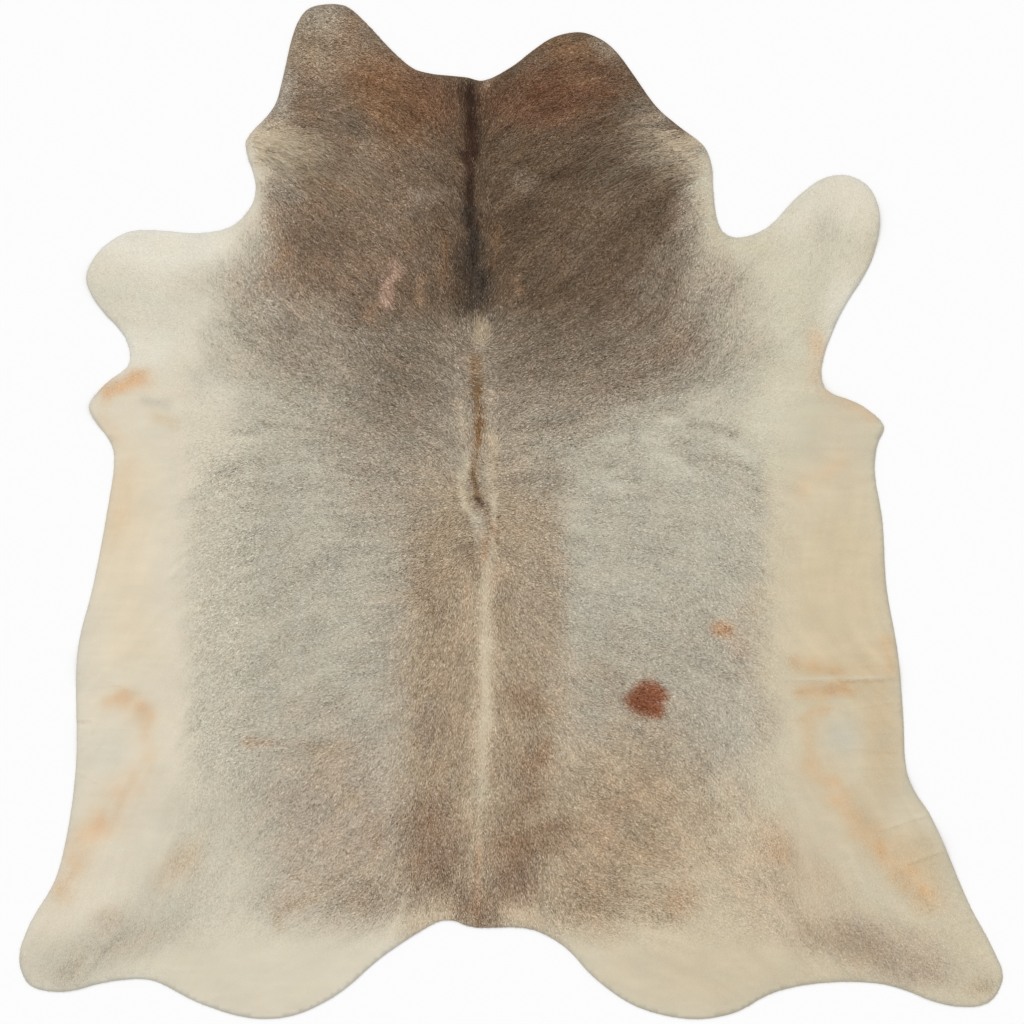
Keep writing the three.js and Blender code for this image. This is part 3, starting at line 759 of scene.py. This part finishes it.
    Stroke("right flank tinge, low", "orange", 822, 772, 864, 828, 16, 0.5),
    Stroke("right flank tinge, tail", "orange", 872, 838, 932, 904, 15, 0.6),
    # Painted light and shade on the right flank's creases: painted highlight along the lit upper side of the
    # fold and the curl, and painted shade below the fold.
    Stroke("right flank fold, painted highlight", "pale cream", 800, 678, 884, 677, 1.6, 0.55),
    Stroke("right flank fold, painted shade", "tan", 846, 682, 884, 681, 1.6, 0.2),
    Stroke("right flank curl, painted highlight", "pale cream", 826, 702, 864, 698, 1.4, 0.5),
    Stroke("scar", "scar", 395, 270, 385, 302, 6.5, 0.9),
    Stroke("scar, tail", "rust tan", 376, 304, 366, 318, 5, 0.3),
]


# Random fields over the picture: how many pixels they change over, and the seed of each.
Mottle = namedtuple("Mottle", "size seed")
FEATHERED = Mottle(5, 11)
RAGGED_ACROSS = Mottle(34, 12)
RAGGED_DOWN = Mottle(34, 13)
BLOTCHED = Mottle(11, 14)
STREAKED = Mottle(5, 16)
BROADLY_STREAKED = Mottle(22, 17)
HUED = Mottle(13, 18)
CLOUDED = Mottle(28, 19)
WRINKLE_SHADE_FIELD = Mottle(3, 20)
SWIRLED = Mottle(16, 21)
WOBBLE_SEED = 15
FIELD_SPAN = 1100
FIELD_MARGIN = 2
FIELD_END = 1.01


def mottle(x, y, size, seed):
    """A smooth random field from -1 to 1 that changes over about size pixels."""
    cells = int(FIELD_SPAN / size) + 2 * FIELD_MARGIN
    knots = np.random.default_rng(seed).uniform(-1, 1, (cells, cells))
    column = np.clip(x / size + FIELD_MARGIN, 0, cells - FIELD_END)
    row = np.clip(y / size + FIELD_MARGIN, 0, cells - FIELD_END)
    left = column.astype(int)
    top = row.astype(int)
    across = column - left
    down = row - top
    across = across * across * (3 - 2 * across)
    down = down * down * (3 - 2 * down)
    upper = knots[top, left] * (1 - across) + knots[top, left + 1] * across
    lower = knots[top + 1, left] * (1 - across) + knots[top + 1, left + 1] * across
    return upper * (1 - down) + lower * down


def patch_share(x, y, patch):
    """How much of a patch's tone shows at places, from 0 to its share."""
    turn = math.radians(patch.turn)
    across = (x - patch.x) * math.cos(turn) + (y - patch.y) * math.sin(turn)
    down = (y - patch.y) * math.cos(turn) - (x - patch.x) * math.sin(turn)
    reach = np.abs(across / patch.half_x) ** patch.corner + np.abs(down / patch.half_y) ** patch.corner
    thin = np.clip((1 - reach ** (1 / patch.corner)) / patch.fade, 0, 1)
    return patch.share * thin * thin * (3 - 2 * thin)


BRUSH_STEP = 5
BRUSH_STEPS = range(-4, 5)
BRUSH_DEPTH = 5


def brushed(x, y, angle, size, seed):
    """A random field like mottle, drawn out along the lie of the hair."""
    total = np.zeros(len(x))
    for step in BRUSH_STEPS:
        run = BRUSH_STEP * step
        total += mottle(x + run * np.cos(angle), y - run * np.sin(angle), size, seed)
    return total / BRUSH_DEPTH


# How far these fields move the edges of patches and strokes, in pixels, and how much they change the tones.
FEATHER = 7
BROAD_RAGS = 4
RAGGED_FROM = 60
STROKE_WOBBLE = 0.4
NARROWEST = 0.1
BLOTCHES = 0.5
BLOTCHED_FROM = 8
MINGLING = 1.2
BROAD_STREAKS = 0.45
HUE_SWING = np.array([1.0, -0.2, -1.0])
CLOUDS = 0.012
# Painted light and shade of fine wrinkles: faint rows of lighter and darker coat where the hair lies sleek.
WRINKLE_SHADING = 0.012
WRINKLE_STRETCH = 6

# Hair is sleeker on the belly, between these rows and so many pixels out from the backbone, and along the
# rump. Inside the left belly it is ruffled, between these columns and rows.
BELLY_OUT = (284, 322)
BELLY_ROWS = (330, 420, 830, 900)
BELLY_SLEEK = (0, 1, 1, 0.45)
RUMP_ROWS = (925, 960)
RUMP_OUT = (300, 360)
SLEEK_SHARE = 0.3
RUFFLED_COLUMNS = (186, 200, 236, 262)
RUFFLED_ROWS = (420, 450, 760, 800)
RUFFLED = 0.65


def sleekness(x, y):
    """How sleek the hair lies at places, up to 1, and below 0 where it is ruffled."""
    out = np.abs(x - WHORL_X)
    belly = np.interp(out, BELLY_OUT, (0, 1)) * np.interp(y, BELLY_ROWS, BELLY_SLEEK)
    rump = np.interp(out, RUMP_OUT, (1, 0)) * np.interp(y, RUMP_ROWS, (0, 1))
    ruffled = np.interp(x, RUFFLED_COLUMNS, (0, 1, 1, 0)) * np.interp(y, RUFFLED_ROWS, (0, 1, 1, 0))
    return np.maximum(belly, rump) - RUFFLED * ruffled


# Towards the trimmed edge the coat is painted a little darker and greyer, over so many pixels:
# painted shade of the hair at the cut edge.
EDGE_SHADE = np.array([0.05, 0.03, 0.0])
EDGE_SHADE_REACH = 4

# What the coat's brightness sets, from dark hair to cream: how streaky it is, how warm and cool hairs mix,
# how much the colour makes up for shade among the hairs, how much painted shade the roots take, and how
# tufts differ in tone, shade and lift.
Pile = namedtuple("Pile", "brightness streaks hues gain roots spread shade lift")
PILES = [
    Pile(68, 0.110, 0.014, 0.96, 0.80, 0.400, 1.0, 1.0),
    Pile(90, 0.110, 0.014, 1.12, 0.80, 0.410, 1.0, 1.0),
    Pile(120, 0.095, 0.014, 1.135, 0.80, 0.380, 1.0, 1.0),
    Pile(145, 0.075, 0.010, 1.10, 0.82, 0.325, 1.0, 1.0),
    Pile(165, 0.065, 0.009, 1.12, 0.84, 0.235, 0.9, 0.9),
    Pile(180, 0.055, 0.008, 1.11, 0.88, 0.155, 0.7, 0.7),
    Pile(192, 0.026, 0.005, 1.02, 0.93, 0.110, 0.4, 0.5),
    Pile(205, 0.018, 0.004, 0.99, 0.97, 0.080, 0.2, 0.3),
    Pile(222, 0.012, 0.004, 0.985, 0.97, 0.060, 0.2, 0.3),
]


def pile(quality, brightness):
    """One quality of the coat at places of the given brightness."""
    stops = [row.brightness for row in PILES]
    return np.interp(brightness, stops, [getattr(row, quality) for row in PILES])


BRIGHTNESS_SHARES = (0.2126, 0.7152, 0.0722)


def brightness_of(colour):
    """How bright sRGB colours are, from 0 to 255."""
    return colour @ BRIGHTNESS_SHARES


def laid_over(colour, tone, share, luck):
    """A tone laid over colours. Where they mix, hairs of high luck take more of the darker one."""
    darker = np.sign(brightness_of(colour) - brightness_of(tone))
    share = np.clip(share + MINGLING * darker * luck * share * (1 - share), 0, 1)
    return colour + share[:, None] * (tone - colour)


# The plain coat is the left cream up to this column, and turns into the right cream over so many pixels.
CREAM_TURNS_AT = 350
CREAM_TURNS_OVER = 350


def coat_colour(x, y, edge_gap, luck):
    """The coat's sRGB colour, from 0 to 255, at places so many pixels from the trimmed edge.
    It holds painted light and shade on creases, folds and wrinkles, and painted shade at the edge.
    """
    angle = combed(x, y)
    feather = FEATHER * brushed(x, y, angle, *FEATHERED)
    rags_x = feather * np.cos(angle) + BROAD_RAGS * mottle(x, y, *RAGGED_ACROSS)
    rags_y = BROAD_RAGS * mottle(x, y, *RAGGED_DOWN) - feather * np.sin(angle)
    rightness = np.clip((x - CREAM_TURNS_AT) / CREAM_TURNS_OVER, 0, 1)[:, None]
    colour = np.array(TONES["left cream"]) * (1 - rightness) + np.array(TONES["right cream"]) * rightness
    for patch in PATCHES:
        rag = patch.rag * min(1, patch.half_x / RAGGED_FROM, patch.half_y / RAGGED_FROM)
        share = patch_share(x + rag * rags_x, y + rag * rags_y, patch)
        colour = laid_over(colour, np.array(TONES[patch.tone]), share, luck)
    blotch = 1 + BLOTCHES * mottle(x, y, *BLOTCHED)
    for stroke in STROKES:
        wobble = STROKE_WOBBLE * stroke.half_width * mottle(x, y, 2 * stroke.half_width, WOBBLE_SEED)
        gap, along = beside_line(x + wobble, y + wobble, stroke)
        narrowing = 1 - stroke.taper * along
        thin = -((gap / stroke.half_width) ** 2) / np.maximum(narrowing, NARROWEST)
        share = stroke.share * narrowing * np.exp(thin)
        if stroke.half_width > BLOTCHED_FROM:
            share = share * blotch
        colour = laid_over(colour, np.array(TONES[stroke.tone]), share, luck)
    brightness = brightness_of(colour)
    streak = brushed(x, y, angle, *STREAKED) + BROAD_STREAKS * mottle(x, y, *BROADLY_STREAKED)
    hue = pile("hues", brightness) * mottle(x, y, *HUED)
    # Painted light and shade of fine wrinkles, where the hair lies sleek.
    wrinkle_shading = WRINKLE_SHADING * sleekness(x, y) * mottle(x / WRINKLE_STRETCH, y, *WRINKLE_SHADE_FIELD)
    clouds = CLOUDS * mottle(x, y, *CLOUDED) + wrinkle_shading
    colour *= 1 + (pile("streaks", brightness) * streak + clouds)[:, None]
    colour *= 1 + hue[:, None] * HUE_SWING
    # Painted shade of the hair along the trimmed edge.
    colour *= 1 - np.exp(-edge_gap / EDGE_SHADE_REACH)[:, None] * EDGE_SHADE
    return colour


# Light off the gloss of the hair, which the sight of the coat holds besides its own colour.
GLOSS = 0.012
DARKEST = 0.002


def own_colour(colour):
    """Scene-linear values of the hair itself that gives the coat an sRGB colour from 0 to 255."""
    share = np.clip(colour, 0, 255) / 255
    seen = np.where(share <= 0.04045, share / 12.92, ((share + 0.055) / 1.055) ** 2.4)
    return np.maximum(seen - GLOSS, DARKEST)


# The skin between the hairs takes the coat's colour at the roots, painted a little darker than the coat
# above
# where that is dark: painted shade deep in the pile.
# The colour's fourth value says how much single roots differ.
ROOT_SPREAD = 2
rim_gap = np.array([rim_distance(x, y) for x, y in hair_side])
root_colour = coat_colour(*picture_place(skin_top), rim_gap / PIXEL, np.zeros(len(skin_top)))
root_brightness = brightness_of(root_colour)
# The roots' colour is darkened here: painted shade between the hairs.
root_shading = pile("gain", root_brightness) * pile("roots", root_brightness)
skin_colour = np.ones((len(skin_mesh.vertices), 4))
skin_colour[:first_bottom, :3] = root_shading[:, None] * own_colour(root_colour)
root_spread = ROOT_SPREAD * pile("spread", root_brightness) * own_colour(root_brightness)
root_spread *= 1 - (1 - SLEEK_SHARE) * sleekness(*picture_place(skin_top))
skin_colour[:first_bottom, 3] = root_spread
root_layer = skin_mesh.color_attributes.new("coat", "FLOAT_COLOR", "POINT")
root_layer.data.foreach_set("color", skin_colour.ravel())
flesh = np.arange(len(skin_mesh.vertices)) >= first_bottom
flesh_layer = skin_mesh.attributes.new("flesh", "FLOAT", "POINT")
flesh_layer.data.foreach_set("value", flesh.astype(float))

# The skin's map for its baked colour: hair side large, flesh side small in a corner, cut edge in a strip.
MAP_MARGIN = 0.01
HAIR_SIDE_MAP = 0.72
FLESH_SIDE_MAP = 0.24
EDGE_STRIP_FROM = 0.736
EDGE_STRIP = 0.012
hide_corner = rim[:, :2].min(axis=0)
hide_spread = (rim[:, :2].max(axis=0) - hide_corner).max()
flat_place = (np.vstack([skin_top, skin_bottom])[:, :2] - hide_corner) / hide_spread
skin_map = skin_mesh.uv_layers.new(name="OFBake")
for face in skin_mesh.polygons:
    corners = [skin_mesh.loops[loop].vertex_index for loop in face.loop_indices]
    tops = sum(corner < first_bottom for corner in corners)
    for loop, corner in zip(face.loop_indices, corners):
        if tops == 3:
            uv = MAP_MARGIN + HAIR_SIDE_MAP * flat_place[corner]
        elif tops == 0:
            uv = 1 - MAP_MARGIN - FLESH_SIDE_MAP * flat_place[corner]
        else:
            low = corner >= first_bottom
            along = (corner - first_bottom * low) / len(rim)
            if along == 0 and max(corners) - first_bottom > len(rim) / 2:
                along = 1
            uv = (MAP_MARGIN + HAIR_SIDE_MAP * along, EDGE_STRIP_FROM + EDGE_STRIP * (1 - low))
        skin_map.data[loop].uv = uv

skin_material = bpy.data.materials.new("suede and hair roots, with painted shade")
skin_material.use_nodes = True
nodes = skin_material.node_tree.nodes
links = skin_material.node_tree.links
leather = nodes["Principled BSDF"]
leather.inputs["Roughness"].default_value = 0.85
leather.inputs["Specular IOR Level"].default_value = 0.25
# This reads the skin's colour, with its painted shade between the hairs.
roots = nodes.new("ShaderNodeAttribute")
roots.attribute_name = "coat"
flesh_mask = nodes.new("ShaderNodeAttribute")
flesh_mask.attribute_name = "flesh"
place = nodes.new("ShaderNodeTexCoord")
nap = nodes.new("ShaderNodeTexNoise")
nap.inputs["Scale"].default_value = 420
nap.inputs["Detail"].default_value = 4
clouds = nodes.new("ShaderNodeTexNoise")
clouds.inputs["Scale"].default_value = 9
clouds.inputs["Detail"].default_value = 5
suede = nodes.new("ShaderNodeValToRGB")
suede.color_ramp.elements[0].position = 0.3
suede.color_ramp.elements[0].color = (0.47, 0.36, 0.25, 1)
suede.color_ramp.elements[1].position = 0.7
suede.color_ramp.elements[1].color = (0.60, 0.50, 0.38, 1)
root_grain = nodes.new("ShaderNodeTexNoise")
root_grain.inputs["Scale"].default_value = 560
root_grain.inputs["Detail"].default_value = 2
root_tone = nodes.new("ShaderNodeMapRange")
root_tone.inputs["From Min"].default_value = 0.3
root_tone.inputs["From Max"].default_value = 0.7
root_tone.inputs["To Min"].default_value = -0.8
root_tone.inputs["To Max"].default_value = 1.0
root_mix = nodes.new("ShaderNodeMath")
root_mix.operation = "MULTIPLY"
mixed_roots = nodes.new("ShaderNodeVectorMath")
mixed_roots.operation = "ADD"
sides = nodes.new("ShaderNodeMix")
sides.data_type = "RGBA"
nap_bump = nodes.new("ShaderNodeBump")
nap_bump.inputs["Strength"].default_value = 0.35
nap_bump.inputs["Distance"].default_value = 0.4 * MM
links.new(place.outputs["Object"], nap.inputs["Vector"])
links.new(place.outputs["Object"], clouds.inputs["Vector"])
links.new(clouds.outputs["Fac"], suede.inputs["Fac"])
links.new(flesh_mask.outputs["Fac"], sides.inputs["Factor"])
links.new(place.outputs["Object"], root_grain.inputs["Vector"])
links.new(root_grain.outputs["Fac"], root_tone.inputs["Value"])
links.new(root_tone.outputs["Result"], root_mix.inputs[0])
links.new(roots.outputs["Alpha"], root_mix.inputs[1])
links.new(roots.outputs["Color"], mixed_roots.inputs[0])
links.new(root_mix.outputs["Value"], mixed_roots.inputs[1])
links.new(mixed_roots.outputs["Vector"], sides.inputs["A"])
links.new(suede.outputs["Color"], sides.inputs["B"])
links.new(sides.outputs["Result"], leather.inputs["Base Color"])
links.new(nap.outputs["Fac"], nap_bump.inputs["Height"])
links.new(nap_bump.outputs["Normal"], leather.inputs["Normal"])
skin_mesh.materials.append(skin_material)
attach(skin, "root")
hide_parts("hide")

# The coat
# The hide's own short hair, left on in the tanning. It lies flat, combed out from the back to the legs.
# It is made as layers of small blades, each a lock of a few hairs rooted in the skin, from short under hair
# up to long guard hair.

# A layer's tufts, with sizes in mm: how long and wide they are, and how far their tips rise above the skin.
Layer = namedtuple("Layer", "name tufts length width lift root_shade tip_shade")
LAYERS = [
    Layer("hair_under", 168000, 5.6, 1.65, 0.5, 0.88, 0.97),
    Layer("hair_short", 168000, 5.8, 1.30, 0.7, 0.90, 0.99),
    Layer("hair_middle", 168000, 6.2, 1.15, 0.9, 0.91, 1.01),
    Layer("hair_long", 168000, 6.6, 1.05, 1.1, 0.92, 1.02),
    Layer("hair_guard", 168000, 7.0, 0.90, 1.3, 0.94, 1.04),
]
ROOT_DEPTH = 0.1 * MM
RIM_HAIR = 12 * MM
RIM_SHORTENING = 0.6
SIZE_RANGE = (0.8, 1.2)
HALF_WIDTH_RANGE = (0.4, 0.6)
LIFT_RANGE = (0.8, 1.2)
COLOUR_DEPTH = 3
TURN_SPREAD = 0.26
SWIRL = 0.22
DARK_LEAN = 0.13
SWING_END = 2

face_corners = skin_top[hair_side_faces]
face_normal = np.cross(face_corners[:, 1] - face_corners[:, 0], face_corners[:, 2] - face_corners[:, 0])
face_slope = -face_normal[:, :2] / face_normal[:, 2:]
face_ends = np.cumsum(np.linalg.norm(face_normal, axis=1) / 2)


def in_the_skin(level, slope):
    """Directions along the sloping skin, for level ones."""
    return np.column_stack([level, np.einsum("nk,nk->n", level, slope)])


def grown(layer, seed):
    """Corners and linear colours of a layer's tufts: the root's right side, the tip and the root's left."""
    random = np.random.default_rng(seed)
    stops = (np.arange(layer.tufts) + random.random(layer.tufts)) / layer.tufts * face_ends[-1]
    face = np.minimum(np.searchsorted(face_ends, stops), len(face_ends) - 1)
    first, second = random.random((2, layer.tufts, 1))
    folded = first + second > 1
    first = np.where(folded, 1 - first, first)
    second = np.where(folded, 1 - second, second)
    share = np.concatenate([1 - first - second, first, second], axis=1)
    root = np.einsum("nk,nkd->nd", share, face_corners[face])
    gap = np.einsum("nk,nk->n", share, rim_gap[hair_side_faces[face]])
    x, y = picture_place(root)
    angle = combed(x, y) + SWIRL * mottle(x, y, *SWIRLED) + TURN_SPREAD * random.normal(size=layer.tufts)
    level = np.column_stack([np.cos(angle), np.sin(angle)])
    ahead = in_the_skin(level, face_slope[face])
    aside = in_the_skin(level[:, ::-1] * (1, -1), face_slope[face])
    size = random.uniform(*SIZE_RANGE, layer.tufts)
    size *= 1 - RIM_SHORTENING * np.clip(1 - gap / RIM_HAIR, 0, 1)
    length = (layer.length * MM * size)[:, None]
    half_width = (layer.width * MM * random.uniform(*HALF_WIDTH_RANGE, layer.tufts))[:, None]
    luck = random.uniform(-1, 1, layer.tufts)
    colour = coat_colour(*picture_place(root + length / COLOUR_DEPTH * ahead), gap / PIXEL, luck)
    brightness = brightness_of(colour)
    sleek = 1 - (1 - SLEEK_SHARE) * sleekness(x, y)
    swing = random.normal(size=layer.tufts)
    swing = np.clip(swing - DARK_LEAN * (swing**2 - 1), -SWING_END, SWING_END)
    colour += (swing * sleek * pile("spread", brightness) * brightness)[:, None]
    lift = layer.lift * MM * size * random.uniform(*LIFT_RANGE, layer.tufts)
    lift *= sleek * pile("lift", brightness)
    up = np.array([[0, 0, 1]])
    root = root - ROOT_DEPTH * up
    tip = root + length * ahead + lift[:, None] * up
    corners = np.stack([root + half_width * aside, tip, root - half_width * aside], axis=1)
    shades = np.array([layer.root_shade, layer.tip_shade, layer.root_shade])
    shades = (1 + (shades - 1) * pile("shade", brightness)[:, None]) * pile("gain", brightness)[:, None]
    return corners, own_colour(colour)[:, None] * shades[:, :, None]


# Longer hairs that lie over the coat of the neck and the withers, in ovals. Sizes are in pixels and lengths
# in mm. Share is how much of the tone they take over the coat's own, and spread is how much they differ in
# brightness.
Lock = namedtuple("Lock", "place tone x y half_x half_y hairs length share spread")
LOCKS = [
    Lock("left throat", "light fawn", 288, 146, 42, 18, 300, 42, 0.7, 0.06),
    Lock("left throat, low", "sand", 286, 172, 26, 14, 90, 36, 0.6, 0.08),
    Lock("left neck, outside", "fawn", 338, 176, 42, 26, 240, 40, 0.6, 0.10),
    Lock("left cheek", "fawn", 320, 110, 36, 22, 120, 34, 0.3, 0.12),
    Lock("right throat", "light fawn", 676, 146, 32, 18, 260, 46, 0.7, 0.06),
    Lock("right throat, low", "sand", 682, 172, 24, 12, 90, 40, 0.6, 0.08),
    Lock("right neck, outside", "stone", 628, 160, 40, 26, 180, 42, 0.45, 0.10),
    Lock("right cheek", "fawn", 634, 118, 26, 16, 80, 34, 0.4, 0.12),
    Lock("pale tuft", "light fawn", 480, 332, 9, 13, 60, 22, 0.7, 0.08),
    Lock("neck", "dun", 480, 190, 200, 120, 1500, 26, 0.0, 0.16),
    Lock("withers", "taupe", 480, 340, 230, 60, 800, 22, 0.0, 0.13),
]
LOCK_STEPS = 6
LOCK_RANGE = (0.7, 1.3)
LOCK_WIDTH = 1.0 * MM
LOCK_LEVEL = 0.92
LOCK_TURN = 0.15
LOCK_SHADES = np.array([1.0, 1.02, 1.0])


def locks_grown(seed):
    """Corners and linear colours of the long hairs, each a chain of blades along the lie of the coat."""
    random = np.random.default_rng(seed)
    corners = []
    colours = []
    for lock in LOCKS:
        around = random.uniform(0, 2 * math.pi, lock.hairs)
        out = np.sqrt(random.random(lock.hairs))
        x = lock.x + lock.half_x * out * np.cos(around)
        y = lock.y + lock.half_y * out * np.sin(around)
        step = lock.length * MM / PIXEL / LOCK_STEPS * random.uniform(*LOCK_RANGE, lock.hairs)
        turn = LOCK_TURN * random.normal(size=lock.hairs)
        angle = combed(x, y)
        line = [(x, y)]
        for _ in range(LOCK_STEPS):
            turned = combed(x, y)
            angle = np.where(np.cos(turned - angle) < 0, turned + math.pi, turned)
            x = x + step * np.cos(angle + turn)
            y = y - step * np.sin(angle + turn)
            line.append((x, y))
        places = hide_place(*np.array(line).transpose(1, 0, 2)).transpose(2, 1, 0)
        flat = places.reshape(-1, 2)
        on_hide = [over_hide(*place) for place in flat]
        kept = np.array(on_hide).reshape(lock.hairs, -1).all(axis=1)
        low, high = solid_heights(flat).T.reshape(2, lock.hairs, -1)
        points = np.dstack([places, low + LOCK_LEVEL * (high - low)])[kept]
        middle_x, middle_y = np.array(line[LOCK_STEPS // 2])[:, kept]
        gap = np.array([rim_distance(*point[:2]) for point in points[:, LOCK_STEPS // 2]])
        colour = coat_colour(middle_x, middle_y, gap / PIXEL, np.zeros(len(points)))
        colour += lock.share * (np.array(TONES[lock.tone]) - colour)
        brightness = brightness_of(colour)
        colour += (lock.spread * random.normal(size=len(points)) * brightness)[:, None]
        shown = own_colour(colour)[:, None] * LOCK_SHADES[:, None] * pile("gain", brightness)[:, None, None]
        for first in range(LOCK_STEPS - 1):
            root = points[:, first]
            tip = points[:, first + 2]
            run = tip - root
            aside = np.column_stack([run[:, 1], -run[:, 0], np.zeros(len(run))])
            aside *= LOCK_WIDTH / 2 / np.linalg.norm(aside, axis=1)[:, None]
            corners.append(np.stack([root + aside, tip, root - aside], axis=1))
            colours.append(shown)
    return np.concatenate(corners), np.concatenate(colours)


BLADE_MAP = np.array([[1.0, 0.0], [0.5, 1.0], [0.0, 0.0]])
BLADE_KINDS = 97


def joined_tufts(name, corners, colours):
    """One object of all the blades in a layer, with a map of the whole hide and a map along each blade."""
    count = len(corners)
    mesh = bpy.data.meshes.new(name)
    mesh.vertices.add(3 * count)
    mesh.vertices.foreach_set("co", corners.ravel())
    mesh.loops.add(3 * count)
    mesh.loops.foreach_set("vertex_index", np.arange(3 * count))
    mesh.polygons.add(count)
    mesh.polygons.foreach_set("loop_start", 3 * np.arange(count))
    mesh.update(calc_edges=True)
    shown = np.ones((count, 3, 4))
    shown[:, :, :3] = colours
    coat_layer = mesh.color_attributes.new("coat", "FLOAT_COLOR", "POINT")
    coat_layer.data.foreach_set("color", shown.ravel())
    low = corners[:, :, :2].min(axis=(0, 1))
    high = corners[:, :, :2].max(axis=(0, 1))
    flat = (corners[:, :, :2] - low) / (high - low)
    mesh.uv_layers.new(name="OFBake").data.foreach_set("uv", flat.ravel())
    strands = np.repeat(BLADE_MAP[None], count, axis=0)
    strands[:, :, 0] += np.arange(count)[:, None] % BLADE_KINDS
    mesh.uv_layers.new(name="strands").data.foreach_set("uv", strands.ravel())
    tufts = bpy.data.objects.new(name, mesh)
    bpy.context.scene.collection.objects.link(tufts)
    return tufts


hair_material = bpy.data.materials.new("short cow hair")
hair_material.use_nodes = True
nodes = hair_material.node_tree.nodes
links = hair_material.node_tree.links
hair = nodes["Principled BSDF"]
hair.inputs["Specular IOR Level"].default_value = 0.2
hair.inputs["Sheen Weight"].default_value = 0.05
hair.inputs["Sheen Roughness"].default_value = 0.45
pelt = nodes.new("ShaderNodeAttribute")
pelt.attribute_name = "coat"
strand_place = nodes.new("ShaderNodeUVMap")
strand_place.uv_map = "strands"
strand_size = nodes.new("ShaderNodeMapping")
strand_size.inputs["Scale"].default_value = (7, 0.6, 1)
strand = nodes.new("ShaderNodeTexNoise")
strand.inputs["Scale"].default_value = 1
strand.inputs["Detail"].default_value = 2
strand_tone = nodes.new("ShaderNodeMapRange")
strand_tone.inputs["From Min"].default_value = 0.3
strand_tone.inputs["From Max"].default_value = 0.7
strand_tone.inputs["To Min"].default_value = 0.92
strand_tone.inputs["To Max"].default_value = 1.08
strand_gloss = nodes.new("ShaderNodeMapRange")
strand_gloss.inputs["To Min"].default_value = 0.75
strand_gloss.inputs["To Max"].default_value = 0.55
toned = nodes.new("ShaderNodeVectorMath")
toned.operation = "SCALE"
links.new(strand_place.outputs["UV"], strand_size.inputs["Vector"])
links.new(strand_size.outputs["Vector"], strand.inputs["Vector"])
links.new(strand.outputs["Fac"], strand_tone.inputs["Value"])
links.new(strand.outputs["Fac"], strand_gloss.inputs["Value"])
links.new(pelt.outputs["Color"], toned.inputs["Vector"])
links.new(strand_tone.outputs["Result"], toned.inputs["Scale"])
links.new(toned.outputs["Vector"], hair.inputs["Base Color"])
links.new(strand_gloss.outputs["Result"], hair.inputs["Roughness"])

growths = {layer.name: grown(layer, seed) for seed, layer in enumerate(LAYERS)}
growths["hair_locks"] = locks_grown(len(LAYERS))
for name, growth in growths.items():
    tufts = joined_tufts(name, *growth)
    tufts.data.materials.append(hair_material)
    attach(tufts, "root")

# The set
# A white floor under soft daylight, and a camera straight above that frames the hide as the picture does.

FLOOR_SIZE = 40
FLOOR_GAP = 0.3 * MM
bpy.ops.object.select_all(action="DESELECT")
bpy.ops.mesh.primitive_plane_add(size=FLOOR_SIZE, location=(0, 0, -FLOOR_GAP))
floor = bpy.context.object
floor.name = "floor"
floor_material = bpy.data.materials.new("white floor")
floor_material.use_nodes = True
floor_paint = floor_material.node_tree.nodes["Principled BSDF"]
floor_paint.inputs["Base Color"].default_value = (0.92, 0.92, 0.92, 1)
floor_paint.inputs["Roughness"].default_value = 0.9
floor_paint.inputs["Specular IOR Level"].default_value = 0.1
floor.data.materials.append(floor_material)

SKY_STRENGTH = 0.80
sky = bpy.data.worlds.new("soft daylight")
sky.use_nodes = True
sky.node_tree.nodes["Background"].inputs["Color"].default_value = (1, 1, 1, 1)
sky.node_tree.nodes["Background"].inputs["Strength"].default_value = SKY_STRENGTH
bpy.context.scene.world = sky

SUN_STRENGTH = 1.15
SUN_ANGLE = math.radians(50)
SUN_FROM = Vector((-0.35, 0.9, 1.0))
SUN_AWAY = 4
bpy.ops.object.light_add(type="SUN", location=SUN_FROM * SUN_AWAY)
sun = bpy.context.object
sun.name = "hazy sun"
sun.data.energy = SUN_STRENGTH
sun.data.angle = SUN_ANGLE
sun.rotation_euler = (-SUN_FROM).to_track_quat("-Z", "Y").to_euler()

FRAME_PIXELS = 1024
LENS = 85
SENSOR = 36
hide_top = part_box("hide")[1].z
camera_height = FRAME_PIXELS * PIXEL * LENS / SENSOR + hide_top / 2
camera_place = (
    (FRAME_PIXELS / 2 - MIDDLE_X) * PIXEL,
    (MIDDLE_Y - FRAME_PIXELS / 2) * PIXEL,
    camera_height,
)
bpy.ops.object.camera_add(location=camera_place, rotation=(0, 0, 0))
camera = bpy.context.object
camera.data.lens = LENS
camera.data.sensor_width = SENSOR
bpy.context.scene.camera = camera
bpy.context.scene.view_settings.view_transform = "Standard"
